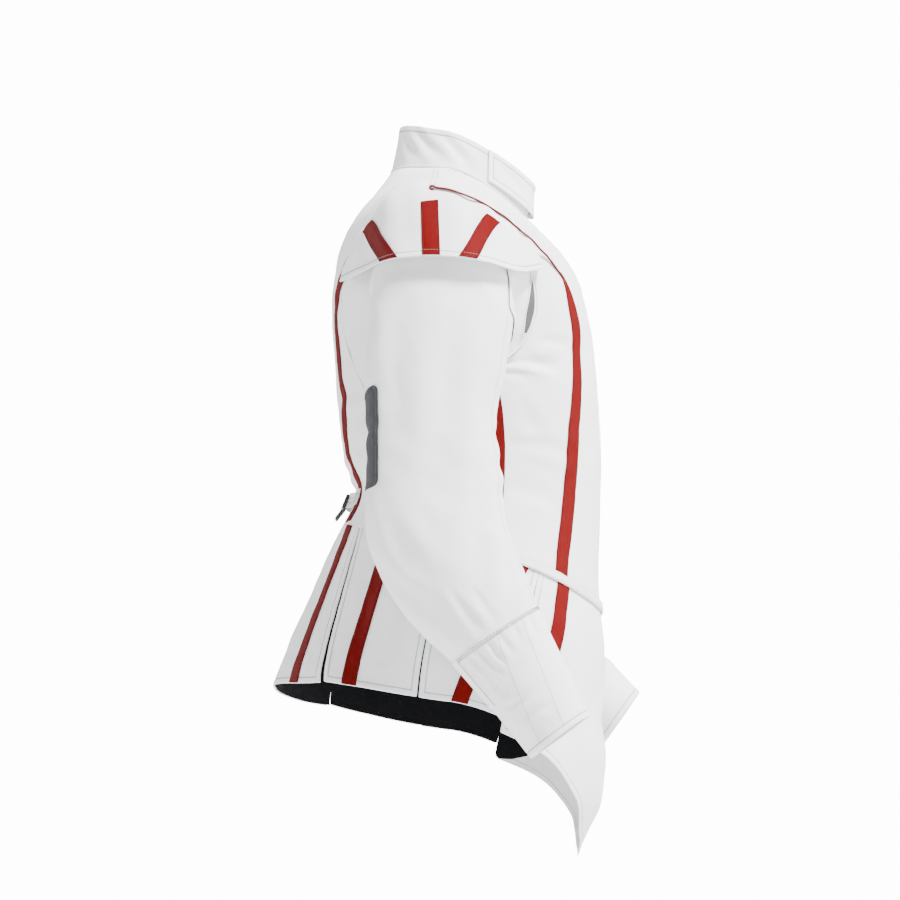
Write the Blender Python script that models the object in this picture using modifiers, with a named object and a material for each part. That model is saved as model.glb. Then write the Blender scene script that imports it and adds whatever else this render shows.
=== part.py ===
"""Construction model of a fencing jacket, filled out as if worn, with no wearer in it.

Metres, +Z up. The front faces -Y and the wearer's right side is -X. The origin is the middle of the shoulder line,
where the wearer's shoulders carry the jacket. Every cloth piece is an open grid of points thickened by a Solidify
modifier, and what is sewn on a panel is made from that panel's own points, moved out.
"""

import math

import bpy
import numpy as np

CLOTH = 0.0020
LINING = 0.0010
COLLAR_CLOTH = 0.0028
TAPE = 0.0008
LAY_GAP = 0.0004
SEAM_GAP = 0.0005
SHOULDER_GAP = 0.0022
WAIST_GAP = 0.0010
LINING_GAP = 0.0008
TAPE_WIDTH = 0.020
OPEN_FRONT_HALF = 0.0022
SKIRT_FRONT_HALF = 0.0020
FINE_SAMPLES = 97

ZONE_ROWS = 10
SHOULDER_STEPS = (0.0, 0.9, 1.4)
SHOULDER_ROWS = len(SHOULDER_STEPS)
LOWER_ROWS = 5
FRONT_COLUMNS = (1, 1, 2, 1, 4)
BACK_COLUMNS = (3, 1, 4)
BAND_HEIGHT = 0.009
ARMHOLE_TOP = 2.0
ARMHOLE_BOTTOM = 4.45
ARMHOLE_FRONT_DEG = 33.0
ARMHOLE_BACK_DEG = 39.0
WAIST_STEP = 6.0

# One row a ring round the body: the middle of the back, the side and the middle of the front.
YOKE_RINGS = {
    "columns": ("back_y", "back_z", "side_x", "side_y", "side_z", "front_y", "front_z", "squareness"),
    "neck": (0.0525, 0.0000, 0.072, -0.020, -0.008, -0.117, -0.062, 2.0),
    "mid_shoulder": (0.0800, -0.0400, 0.138, -0.012, -0.026, -0.136, -0.094, 2.1),
    "shoulder_tip": (0.1120, -0.0900, 0.196, -0.010, -0.052, -0.172, -0.130, 2.3),
    "upper_chest": (0.1265, -0.1500, 0.193, -0.022, -0.150, -0.192, -0.182, 2.4),
    "chest": (0.1265, -0.2150, 0.182, -0.030, -0.235, -0.201, -0.245, 2.4),
}
# Level of each lower ring at the back, the side and the front, read against BODY_LEVELS.
LOWER_RINGS = {
    "columns": ("back_z", "side_z", "front_z"),
    "ribs": (-0.300, -0.325, -0.345),
    "waist_seam": (-0.4500, -0.5000, -0.5600),
}
BODY_LEVELS = {
    "columns": ("z", "back_y", "front_y", "side_x", "side_y"),
    "rows": (
        (-0.210, 0.1265, -0.1980, 0.184, -0.030),
        (-0.265, 0.1210, -0.2055, 0.177, -0.032),
        (-0.316, 0.1185, -0.2072, 0.170, -0.034),
        (-0.350, 0.1150, -0.2078, 0.165, -0.036),
        (-0.380, 0.1080, -0.2080, 0.160, -0.038),
        (-0.406, 0.0960, -0.2070, 0.157, -0.040),
        (-0.428, 0.1010, -0.2065, 0.157, -0.040),
        (-0.450, 0.1130, -0.2060, 0.160, -0.040),
        (-0.500, 0.1360, -0.2040, 0.171, -0.036),
        (-0.550, 0.1570, -0.2055, 0.183, -0.032),
        (-0.600, 0.1790, -0.2120, 0.194, -0.026),
        (-0.650, 0.1990, -0.2100, 0.205, -0.022),
        (-0.700, 0.2060, -0.2075, 0.212, -0.020),
        (-0.740, 0.2080, -0.2120, 0.215, -0.020),
        (-0.770, 0.2080, -0.2095, 0.214, -0.020),
        (-0.800, 0.2080, -0.2045, 0.210, -0.020),
        (-0.830, 0.2080, -0.1890, 0.200, -0.020),
        (-0.862, 0.2080, -0.1760, 0.190, -0.020),
    ),
}
BODY_SQUARENESS = 2.4
LEVEL_POWER = 1.3

# Where the middle of each body tape lies, as height and distance from the front.
TAPE_PATHS = {
    "columns": ("z", "y"),
    "front": (
        (-0.024, -0.016), (-0.045, -0.036), (-0.064, -0.062), (-0.098, -0.104), (-0.132, -0.139),
        (-0.157, -0.158), (-0.185, -0.168), (-0.236, -0.175), (-0.314, -0.173), (-0.364, -0.170),
        (-0.427, -0.165), (-0.501, -0.158), (-0.546, -0.152), (-0.600, -0.148),
    ),
    "side": ((-0.270, -0.082), (-0.362, -0.083), (-0.427, -0.086), (-0.540, -0.078)),
    "back": (
        (-0.026, 0.010), (-0.048, 0.050), (-0.080, 0.085), (-0.112, 0.106), (-0.139, 0.1145), (-0.166, 0.119),
        (-0.250, 0.1165), (-0.330, 0.108), (-0.378, 0.101), (-0.411, 0.088), (-0.430, 0.093), (-0.480, 0.105),
    ),
}

# Angles are round the body from the middle of the back; tape is the tape's middle as a share of the panel's width.
SKIRT_PANELS = {
    "columns": ("top_from", "top_to", "hem_from", "hem_to", "tape_top", "tape_hem", "hem_levels", "columns_beside"),
    "skirt_side_back": (39.6, 84.0, 50.0, 82.5, 0.44, 0.30, (-0.657, -0.662, -0.667, -0.673, -0.679), (2, 3)),
    "skirt_side_front": (84.5, 119.0, 83.3, 104.0, 0.80, 0.50, (-0.680, -0.684, -0.689, -0.695, -0.702), (3, 2)),
    "skirt_front": (119.5, 180.0, 104.8, 180.0, 0.20, 0.13, (-0.722, -0.751, -0.796, -0.838, -0.858), (2, 6)),
}
SKIRT_BACK_HALF_TOP = 38.0
SKIRT_BACK_HALF_HEM = 48.0
SKIRT_BACK_LEVELS = (-0.650, -0.651, -0.653, -0.656, -0.658)
SKIRT_BACK_COLUMNS = (3, 1, 1)
SKIRT_ROWS = 7
LINING_FROM_HEM = 0.006
LINING_FROM_SIDE = 0.004

COLLAR_RISE = 0.0012
COLLAR_TOP = {
    "columns": ("back_y", "back_z", "side_x", "side_y", "side_z", "front_y", "front_z"),
    "top": (0.0430, 0.0560, 0.064, -0.015, 0.041, -0.125, -0.018),
}
COLLAR_END_DEG = 171.0
FLAP_FROM_DEG = 119.0
FLAP_COLUMNS = 12
FLAP_SHARES = (1.0, 0.5, 0.12)
FLAP_STAND_OFF = 0.0045

# One row a ring of the sleeve: its middle, half sizes, the lean of its top away from upright, and its swing forward.
SLEEVE_RINGS = {
    "columns": ("x", "y", "z", "half_width", "half_depth", "lean_deg", "swing_deg"),
    "head": (-0.2190, -0.010, -0.1850, 0.0840, 0.1000, 22, 0),
    "cap": (-0.2320, -0.009, -0.2300, 0.0870, 0.0800, 36, 0),
    "upper_arm": (-0.2400, -0.002, -0.2880, 0.0850, 0.0590, 62, 0),
    "biceps": (-0.2430, 0.002, -0.3530, 0.0775, 0.0550, 83, 0),
    "above_elbow": (-0.2450, -0.001, -0.4300, 0.0810, 0.0550, 90, 4),
    "elbow": (-0.2480, -0.004, -0.4850, 0.0840, 0.0550, 90, 15),
    "below_elbow": (-0.2520, -0.031, -0.5450, 0.0780, 0.0530, 90, 27),
    "forearm": (-0.2560, -0.072, -0.6085, 0.0610, 0.0470, 90, 34),
}
CUFF_RINGS = {
    "columns": SLEEVE_RINGS["columns"],
    "top": (-0.2560, -0.0725, -0.6092, 0.0610, 0.0470, 90, 34),
    "middle": (-0.2570, -0.1130, -0.6710, 0.0515, 0.0420, 90, 35),
    "hem": (-0.2580, -0.1500, -0.7320, 0.0430, 0.0370, 90, 36),
}
SLEEVE_COLUMNS = 20
SLEEVE_ROWS_BETWEEN = 2
SLEEVE_FIRST_ROW = 0.1
UPPER_SLEEVE_COLUMNS = (-8, 4)
CUFF_SLIT_HALF_DEG = 3.0
CUFF_SLIT_AT_DEG = -105.0
CUFF_COLUMNS = 20
LEFT_FOREARM_SWING_DEG = 19.0
LEFT_ELBOW = (-0.004, -0.430)
LEFT_SWING_FROM = -0.360
LEFT_SWING_FULL = -0.520
HOLE_INSET = 0.0006

PATCH_COLUMNS = (-7, -3)
PATCH_ROWS = (8, 11)
GUSSET_COLUMNS = (4, 7)
GUSSET_ROWS = (1, 5)

# One row a line over the shoulder: inner edge and armhole edge on the body, then the free part.
WING_LINES = {
    "columns": ("inner_deg", "inner_t", "edge_deg", "edge_t", "mid", "lower"),
    "rows": (
        (44.0, 2.30, 41.5, 2.65, (-0.127, 0.1110, -0.142), (-0.126, 0.1150, -0.161)),
        (51.0, 1.95, 52.0, 2.28, (-0.186, 0.0900, -0.112), (-0.206, 0.0870, -0.163)),
        (66.0, 1.50, 68.0, 2.02, (-0.246, 0.0520, -0.078), (-0.275, 0.0500, -0.160)),
        (90.0, 1.35, 90.0, 1.94, (-0.258, -0.0060, -0.067), (-0.295, -0.0080, -0.159)),
        (100.0, 1.72, 105.0, 2.02, (-0.252, -0.0560, -0.083), (-0.285, -0.0640, -0.165)),
        (108.0, 1.98, 114.5, 2.26, (-0.220, -0.1030, -0.114), (-0.244, -0.1045, -0.169)),
        (117.5, 2.20, 121.5, 2.45, (-0.168, -0.1300, -0.137), (-0.174, -0.1340, -0.153)),
    ),
}
WING_ALONG = 18
WING_ON_BODY = 2
WING_FREE = 4
WING_LIFT = 0.0042
# Share along the wing of each strip's two sides, at the top row that it starts from.
WING_STRIPS = {"columns": ("from_column", "to_column"), "back": (4, 5), "middle": (8, 9), "front": (13, 14)}

STRAP_HEIGHT = 0.020
STRAP_CLEAR = 0.0012
BUCKLE_SIZE = (0.032, 0.0044, 0.034)
BUCKLE_AT = (0.0, 0.1127, -0.4260)
BUCKLE_LEAN_DEG = 22.0
BUCKLE_SLOT = (0.022, 0.0050)
ZIP_HALF = 0.012
SLIDER_SIZE = (0.009, 0.0026, 0.016)
SLIDER_STEP = 0.45
SLIDER_STAND_OFF = 0.0016

WHITE = (0.86, 0.86, 0.87, 1.0)
RED = (0.55, 0.02, 0.01, 1.0)
BLACK = (0.012, 0.012, 0.014, 1.0)
GREY = (0.06, 0.065, 0.07, 1.0)


def table(rows, key):
    """Returns one named row of a table as a dictionary of its columns."""
    return dict(zip(rows["columns"], rows[key]))


def through(values, at):
    """Smooth curve through evenly numbered values, read at a position from 0 to len(values) - 1."""
    values = np.asarray(values, float)
    last = len(values) - 1
    at = min(max(at, 0.0), float(last))
    low = min(int(at), last - 1)
    part = at - low
    slope_low = (values[low + 1] - values[max(low - 1, 0)]) / (2.0 if low > 0 else 1.0)
    slope_high = (values[min(low + 2, last)] - values[low]) / (2.0 if low + 1 < last else 1.0)
    square, cube = part**2, part**3
    return (
        (2 * cube - 3 * square + 1) * values[low]
        + (cube - 2 * square + part) * slope_low
        + (3 * square - 2 * cube) * values[low + 1]
        + (cube - square) * slope_high
    )


def from_path(path, column, at):
    """Reads a table's column against its first column, which falls."""
    path = np.asarray(path, float)
    return np.interp(-at, -path[:, 0], path[:, column])


def oval(degrees, back_y, side_x, side_y, front_y, squareness):
    """Point on the right half of a squared oval, from the middle of the back round to the middle of the front."""
    turn = math.radians(degrees)
    across = abs(math.sin(turn)) ** (2 / squareness)
    along = abs(math.cos(turn)) ** (2 / squareness)
    reach = (back_y if degrees <= 90 else front_y) - side_y
    return -side_x * across, side_y + reach * along


def level_round(degrees, back_z, side_z, front_z):
    """Height round a ring that is not level."""
    share = abs(math.cos(math.radians(degrees))) ** LEVEL_POWER
    return side_z + ((back_z if degrees <= 90 else front_z) - side_z) * share


def body_at_level(degrees, z):
    """Point of the body or skirt at one height."""
    back_y, front_y, side_x, side_y = (from_path(BODY_LEVELS["rows"], column, z) for column in (1, 2, 3, 4))
    x, y = oval(degrees, back_y, side_x, side_y, front_y, BODY_SQUARENESS)
    return np.array((x, y, z))


def body_point(degrees, step):
    """Point of the body from the neck (step 0) to the waist seam (WAIST_STEP). Angles below 0 are on the left."""
    side = -1.0 if degrees < 0 else 1.0
    turn = abs(degrees)
    rings = []
    for name in ("neck", "mid_shoulder", "shoulder_tip", "upper_chest", "chest"):
        ring = table(YOKE_RINGS, name)
        x, y = oval(turn, ring["back_y"], ring["side_x"], ring["side_y"], ring["front_y"], ring["squareness"])
        rings.append((x, y, level_round(turn, ring["back_z"], ring["side_z"], ring["front_z"])))
    ribs = level_round(turn, *LOWER_RINGS["ribs"])
    seam = level_round(turn, *LOWER_RINGS["waist_seam"])
    rings.append(body_at_level(turn, ribs))
    if step <= 5.0:
        rings.append(body_at_level(turn, ribs + (seam - ribs) * 0.25))
        point = through(rings, step)
    else:
        point = body_at_level(turn, ribs + (seam - ribs) * (step - 5.0))
    return np.array((side * point[0], point[1], point[2]))


def armhole(turn_deg):
    """Angle and step of the armhole's edge: 0 is its top, 90 its front, 180 its bottom, -90 its back."""
    turn = math.radians(turn_deg)
    sweep = ARMHOLE_FRONT_DEG if math.sin(turn) >= 0 else ARMHOLE_BACK_DEG
    step = ARMHOLE_TOP + (ARMHOLE_BOTTOM - ARMHOLE_TOP) * (1 - math.cos(turn)) / 2
    return 90.0 + sweep * math.sin(turn), step


def body_steps():
    """Steps of the panel rows: shoulder, armhole, sides, then the narrow row under the waist band."""
    shoulder = list(SHOULDER_STEPS)
    zone = [armhole(180.0 * row / ZONE_ROWS)[1] for row in range(ZONE_ROWS + 1)]
    band = WAIST_STEP - BAND_HEIGHT / 0.185
    lower = [ARMHOLE_BOTTOM + (band - ARMHOLE_BOTTOM) * row / LOWER_ROWS for row in range(1, LOWER_ROWS + 1)]
    return shoulder + zone + lower + [WAIST_STEP]


def body_edge(row, front):
    """Angle of the panel's edge in one row: shoulder seam, armhole or side seam."""
    if SHOULDER_ROWS <= row <= SHOULDER_ROWS + ZONE_ROWS:
        turn = 180.0 * (row - SHOULDER_ROWS) / ZONE_ROWS
        return armhole(turn if front else -turn)[0]
    return 90.0


def lengths_of(line):
    """Length along a line up to each of its points."""
    steps = np.linalg.norm(np.diff(line, axis=0), axis=1)
    return np.concatenate(([0.0], np.cumsum(steps)))


def cut_line(line, places):
    """Points of a line at the given lengths."""
    lengths = lengths_of(line)
    return np.stack([np.interp(places, lengths, line[:, axis]) for axis in range(3)], axis=1)


def places_between(marks, counts):
    """Evenly spaced lengths between one mark and the next."""
    places = [marks[0]]
    for low, high, count in zip(marks[:-1], marks[1:], counts):
        places += [low + (high - low) * (k + 1) / count for k in range(count)]
    return places


def tape_middle(line, name):
    """Length along a row at which the middle of a tape crosses it."""
    path = TAPE_PATHS[name]
    off = np.array([point[1] - from_path(path, 1, point[2]) for point in line])
    return float(np.interp(0.0, -off, lengths_of(line))) if off[0] > 0 else 0.0


def keep_clear(middles, total, margin=0.004):
    """Tape edges kept in order and inside the row."""
    marks = [0.0]
    for middle in middles:
        low = max(middle - TAPE_WIDTH / 2, marks[-1] + margin)
        marks += [low, low + TAPE_WIDTH]
    spare = total - margin - marks[-1]
    if spare < 0:
        marks = [mark * (total - margin) / marks[-1] for mark in marks]
    return marks + [total]


def seam_half(row):
    """Half the gap at the side edge of a row: wider on the shoulder, where the cloth folds over."""
    return (SHOULDER_GAP if row <= SHOULDER_ROWS else SEAM_GAP) / 2


def front_rows():
    """Grid of the right front, from its side edge to the middle, with columns on the edges of both tapes."""
    grid = []
    for row, step in enumerate(body_steps()):
        edge = body_edge(row, front=True)
        line = np.array([body_point(turn, step) for turn in np.linspace(edge, 180.0, FINE_SAMPLES)])
        total = lengths_of(line)[-1]
        line = cut_line(line, np.linspace(seam_half(row), total - OPEN_FRONT_HALF, FINE_SAMPLES))
        total = lengths_of(line)[-1]
        front_tape = tape_middle(line, "front")
        if row < SHOULDER_ROWS + ZONE_ROWS:
            marks = keep_clear([front_tape], total)
            marks[1:1] = [marks[1] * 0.4, marks[1] * 0.7]
        else:
            marks = keep_clear([tape_middle(line, "side"), front_tape], total)
        grid.append(cut_line(line, places_between(marks, FRONT_COLUMNS)))
    return np.array(grid)


def back_rows():
    """Grid of the back, from the left side to the right, with columns on the edges of both tapes."""
    grid = []
    for row, step in enumerate(body_steps()):
        edge = body_edge(row, front=False)
        line = np.array([body_point(turn, step) for turn in np.linspace(0.0, edge, FINE_SAMPLES)])
        line = cut_line(line, np.linspace(0.0, lengths_of(line)[-1] - seam_half(row), FINE_SAMPLES))
        marks = keep_clear([back_tape_middle(line)], lengths_of(line)[-1])
        half = cut_line(line, places_between(marks, BACK_COLUMNS))
        grid.append(np.concatenate([mirrored_row(half)[:-1], half]))
    return np.array(grid)


def back_tape_middle(line):
    """Length from the middle of the back at which the back tape crosses a row."""
    off = np.array([from_path(TAPE_PATHS["back"], 1, point[2]) - point[1] for point in line])
    if off[0] > 0:
        return TAPE_WIDTH
    return float(np.interp(0.0, off, lengths_of(line)))


def mirrored_row(row):
    """The same row on the other side of the body, in the opposite order."""
    return row[::-1] * np.array((-1.0, 1.0, 1.0))


def mirrored(grid):
    """The same grid on the other side of the body, still facing out."""
    return grid[:, ::-1] * np.array((-1.0, 1.0, 1.0))


def skirt_rows(name, turn_shift=0.0):
    """Grid of one right skirt panel from the waist seam to the hem."""
    panel = table(SKIRT_PANELS, name)
    grid = []
    for row in range(SKIRT_ROWS + 1):
        share = row / SKIRT_ROWS
        start = panel["top_from"] + (panel["hem_from"] - panel["top_from"]) * share
        end = panel["top_to"] + (panel["hem_to"] - panel["top_to"]) * share
        tape = panel["tape_top"] + (panel["tape_hem"] - panel["tape_top"]) * share
        line = skirt_line(start, end, panel["hem_levels"], share)
        if name == "skirt_front":
            line = cut_line(line, np.linspace(0.0, lengths_of(line)[-1] - SKIRT_FRONT_HALF, FINE_SAMPLES))
        total = lengths_of(line)[-1]
        marks = keep_clear([total * tape], total)
        before, after = panel["columns_beside"]
        grid.append(cut_line(line, places_between(marks, (before, 1, after))))
    return np.array(grid)


def skirt_line(start, end, hem_levels, share):
    """One row round a skirt panel, at a share of the way from the waist seam to the hem."""
    line = []
    for across in np.linspace(0.0, 1.0, FINE_SAMPLES):
        turn = start + (end - start) * across
        top = level_round(turn, *LOWER_RINGS["waist_seam"]) - WAIST_GAP
        hem = through(hem_levels, across * (len(hem_levels) - 1))
        line.append(body_at_level(turn, top + (hem - top) * share))
    return np.array(line)


def skirt_back_rows():
    """Grid of the back skirt panel, which crosses the middle of the back."""
    grid = []
    for row in range(SKIRT_ROWS + 1):
        share = row / SKIRT_ROWS
        end = SKIRT_BACK_HALF_TOP + (SKIRT_BACK_HALF_HEM - SKIRT_BACK_HALF_TOP) * share
        line = skirt_line(0.0, end, SKIRT_BACK_LEVELS, share)
        total = lengths_of(line)[-1]
        marks = keep_clear([total * (0.74 - 0.02 * share)], total)
        half = cut_line(line, places_between(marks, SKIRT_BACK_COLUMNS))
        grid.append(np.concatenate([mirrored_row(half)[:-1], half]))
    return np.array(grid)


def grid_normals(grid):
    """Outward direction at each point of a grid."""
    down = np.gradient(grid, axis=0)
    across = np.gradient(grid, axis=1)
    normal = np.cross(down, across)
    return normal / np.maximum(np.linalg.norm(normal, axis=2, keepdims=True), 1e-9)


def lifted(grid, rows, columns, height):
    """Part of a grid, moved out by a height."""
    raised = grid + grid_normals(grid) * height
    return raised[rows[0]:rows[1] + 1, columns[0]:columns[1] + 1]


def trimmed(grid, side, hem):
    """A grid with its side and hem edges drawn in."""
    grid = grid.copy()
    for row in grid:
        total = lengths_of(row)[-1]
        row[:] = cut_line(row, side + lengths_of(row) * (total - 2 * side) / total)
    for column in range(grid.shape[1]):
        line = grid[:, column].copy()
        total = lengths_of(line)[-1]
        grid[:, column] = cut_line(line, hem / 2 + lengths_of(line) * (total - 1.5 * hem) / total)
    return grid


def material(name, color, roughness=0.85):
    """A plain material of its own for one piece."""
    made = bpy.data.materials.new(name)
    made.use_nodes = True
    shader = made.node_tree.nodes["Principled BSDF"]
    shader.inputs["Base Color"].default_value = color
    shader.inputs["Roughness"].default_value = roughness
    return made


def mesh_object(name, points, faces, color, collection):
    """Adds a mesh with its own material."""
    mesh = bpy.data.meshes.new(name)
    mesh.from_pydata([tuple(map(float, point)) for point in points], [], faces)
    made = bpy.data.objects.new(name, mesh)
    made.data.materials.append(material(name + "_finish", color))
    collection.objects.link(made)
    return made


def cloth(name, grid, thickness, color, collection, closed=False):
    """A cloth piece: an open grid whose points are its outer face, thickened inwards."""
    rows, columns = grid.shape[:2]
    faces = []
    for row in range(rows - 1):
        for column in range(columns if closed else columns - 1):
            after = (column + 1) % columns
            faces.append((row * columns + column, (row + 1) * columns + column,
                          (row + 1) * columns + after, row * columns + after))
    made = mesh_object(name, grid.reshape(-1, 3), faces, color, collection)
    wall = made.modifiers.new("wall", "SOLIDIFY")
    wall.thickness = thickness
    wall.offset = -1.0
    wall.use_rim = True
    return made


def both_sides(name, grid, thickness, color, collection):
    """A right piece and its mirrored left piece."""
    cloth(name + "_r", grid, thickness, color, collection)
    cloth(name + "_l", mirrored(grid), thickness, color, collection)


def ring_frame(ring):
    """Middle of a sleeve ring, with its forward and upward directions."""
    lean = math.radians(ring[5])
    swing = math.radians(ring[6])
    forward = np.array((0.0, -math.cos(swing), math.sin(swing)))
    upright = np.array((-math.sin(lean), math.cos(lean) * math.sin(swing), math.cos(lean) * math.cos(swing)))
    return np.array(ring[:3]), forward * ring[3], upright * ring[4]


def ring_point(ring, turn_deg):
    """Point on a sleeve ring: 0 is its top or outer side, 90 its front."""
    middle, forward, upright = ring_frame(ring)
    turn = math.radians(turn_deg)
    return middle + forward * math.sin(turn) + upright * math.cos(turn)


def armhole_point(turn_deg):
    """Point of the sleeve's first ring, just inside the hole left by the body panels."""
    degrees, step = armhole(turn_deg)
    middle_deg, middle_step = 90.0, (ARMHOLE_TOP + ARMHOLE_BOTTOM) / 2
    point = body_point(degrees, step)
    inward = body_point(middle_deg, middle_step) - point
    return point + inward / np.linalg.norm(inward) * HOLE_INSET


def sleeve_column(turn_deg):
    """Line down the sleeve at one angle, through the armhole and every ring."""
    rings = [row for name, row in SLEEVE_RINGS.items() if name != "columns"]
    controls = [armhole_point(turn_deg)] + [ring_point(ring, turn_deg) for ring in rings]
    steps = (len(controls) - 1) * SLEEVE_ROWS_BETWEEN
    places = [0.0, SLEEVE_FIRST_ROW] + [row / SLEEVE_ROWS_BETWEEN for row in range(1, steps + 1)]
    return np.array([through(controls, place) for place in places])


def sleeve_rows(columns):
    """Grid of the sleeve between two columns. Column 0 is the outer middle."""
    turns = [column * 360.0 / SLEEVE_COLUMNS for column in range(columns[0], columns[1] + 1)]
    return np.stack([sleeve_column(turn) for turn in turns], axis=1)


def seam_trimmed(grid, gap):
    """A grid with only its side edges drawn in by half a seam gap."""
    grid = grid.copy()
    for row in grid:
        for edge, beside in ((0, 1), (-1, -2)):
            step = row[beside] - row[edge]
            row[edge] = row[edge] + step / np.linalg.norm(step) * gap / 2
    return grid


def cuff_rows():
    """Grid of the cuff, open along its slit."""
    first = CUFF_SLIT_AT_DEG + CUFF_SLIT_HALF_DEG
    turns = np.linspace(first, first + 360.0 - 2 * CUFF_SLIT_HALF_DEG, CUFF_COLUMNS + 1)
    rings = [row for name, row in CUFF_RINGS.items() if name != "columns"]
    lines = []
    for turn in turns:
        controls = [ring_point(ring, turn) for ring in rings]
        lines.append([through(controls, row / 2) for row in range(5)])
    return np.stack(lines, axis=1)


def left_arm(grid):
    """The mirrored arm with its forearm swung further forward about the elbow."""
    grid = mirrored(grid)
    out = grid.copy()
    for index in np.ndindex(grid.shape[:2]):
        x, y, z = grid[index]
        share = min(max((LEFT_SWING_FROM - z) / (LEFT_SWING_FROM - LEFT_SWING_FULL), 0.0), 1.0)
        share = share * share * (3 - 2 * share)
        swing = math.radians(LEFT_FOREARM_SWING_DEG) * share
        along, up = y - LEFT_ELBOW[0], z - LEFT_ELBOW[1]
        out[index] = (
            x,
            LEFT_ELBOW[0] + along * math.cos(swing) + up * math.sin(swing),
            LEFT_ELBOW[1] - along * math.sin(swing) + up * math.cos(swing),
        )
    return out


def both_arms(name, grid, thickness, color, collection):
    """A piece of the right arm and the same piece of the left arm."""
    cloth(name + "_r", grid, thickness, color, collection)
    cloth(name + "_l", left_arm(grid), thickness, color, collection)


def body_normal(degrees, step):
    """Outward direction of the body at a point."""
    down = body_point(degrees, step + 0.01) - body_point(degrees, step - 0.01)
    across = body_point(degrees + 0.5, step) - body_point(degrees - 0.5, step)
    normal = np.cross(down, across)
    return normal / np.linalg.norm(normal)


def wing_rows():
    """Grid of the right wing: first over the shoulder, close to the body, then free down to its lower edge."""
    lines = WING_LINES["rows"]
    last = len(lines) - 1
    grid = []
    for down in range(WING_ON_BODY + WING_FREE + 1):
        row = []
        for along in range(WING_ALONG + 1):
            place = along / WING_ALONG * last
            inner, edge, middle, lower = (
                through([line[at:to] if to - at > 1 else line[at] for line in lines], place)
                for at, to in ((0, 2), (2, 4), (4, 5), (5, 6))
            )
            share = min(down / WING_ON_BODY, 1.0)
            degrees, step = inner + (edge - inner) * share
            point = body_point(degrees, step) + body_normal(degrees, step) * WING_LIFT
            if down > WING_ON_BODY:
                point = through([point, middle, lower], 2.0 * (down - WING_ON_BODY) / WING_FREE)
            row.append(point)
        grid.append(row)
    return np.array(grid)


def ring_curve(degrees, ring):
    """Point of a collar ring, on either side of the body."""
    side = -1.0 if degrees < 0 else 1.0
    turn = abs(degrees)
    x, y = oval(turn, ring["back_y"], ring["side_x"], ring["side_y"], ring["front_y"], 2.0)
    return np.array((side * x, y, level_round(turn, ring["back_z"], ring["side_z"], ring["front_z"])))


def collar_point(degrees, share):
    """Point of the standing collar from its foot (0) to its top edge (1). Angles below 0 are on the left."""
    foot = ring_curve(degrees, table(YOKE_RINGS, "neck")) + np.array((0.0, 0.0, COLLAR_RISE))
    top = ring_curve(degrees, table(COLLAR_TOP, "top"))
    return foot + (top - foot) * share


def collar_rows(start, end, columns, shares):
    """Grid of the collar between two angles."""
    return np.array([[collar_point(turn, share) for turn in np.linspace(start, end, columns + 1)] for share in shares])


def plate(name, size, at, lean_deg, slot, color, collection, cutters):
    """A rounded plate, with two slots if a slot size is given."""
    bpy.ops.mesh.primitive_cube_add(size=1.0)
    made = bpy.context.active_object
    made.name = name
    made.scale = size
    bpy.ops.object.transform_apply(location=False, rotation=False, scale=True)
    for holder in list(made.users_collection):
        holder.objects.unlink(made)
    collection.objects.link(made)
    edge = made.modifiers.new("edges", "BEVEL")
    edge.width = min(size) * 0.25
    edge.segments = 2
    for side in (-1, 1) if slot else ():
        bpy.ops.mesh.primitive_cube_add(size=1.0, location=(0.0, 0.0, side * size[2] * 0.22))
        cutter = bpy.context.active_object
        cutter.name = f"{name}_slot_{'upper' if side > 0 else 'lower'}"
        cutter.scale = (slot[0], size[1] * 3, slot[1])
        for holder in list(cutter.users_collection):
            holder.objects.unlink(cutter)
        cutters.objects.link(cutter)
        cutter.hide_render = True
        cutter.display_type = "WIRE"
        place(cutter, at, lean_deg)
        cut = made.modifiers.new("slot", "BOOLEAN")
        cut.operation = "DIFFERENCE"
        cut.solver = "EXACT"
        cut.object = cutter
    place(made, at, lean_deg)
    made.data.materials.append(material(name + "_finish", color, 0.4))
    return made


def place(made, at, lean_deg):
    """Turns an object about the X axis and moves it to its place."""
    lean = math.radians(lean_deg)
    local = made.location.copy()
    made.rotation_euler = (lean, 0.0, 0.0)
    made.location = (
        at[0] + local.x,
        at[1] + local.y * math.cos(lean) - local.z * math.sin(lean),
        at[2] + local.y * math.sin(lean) + local.z * math.cos(lean),
    )


def back_strap_rows(strip):
    """Strap across the back between its tapes, narrowed to its own height and drawn in clear of them."""
    raised = strip + grid_normals(strip) * (LAY_GAP + TAPE)
    fall = raised[1] - raised[0]
    long = np.linalg.norm(fall, axis=1)[:, None]
    middle = (raised[0] + raised[1]) / 2
    strap = np.stack([middle - fall / long * STRAP_HEIGHT / 2, middle + fall / long * STRAP_HEIGHT / 2])
    return trimmed(strap, STRAP_CLEAR, 0.0)


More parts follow.
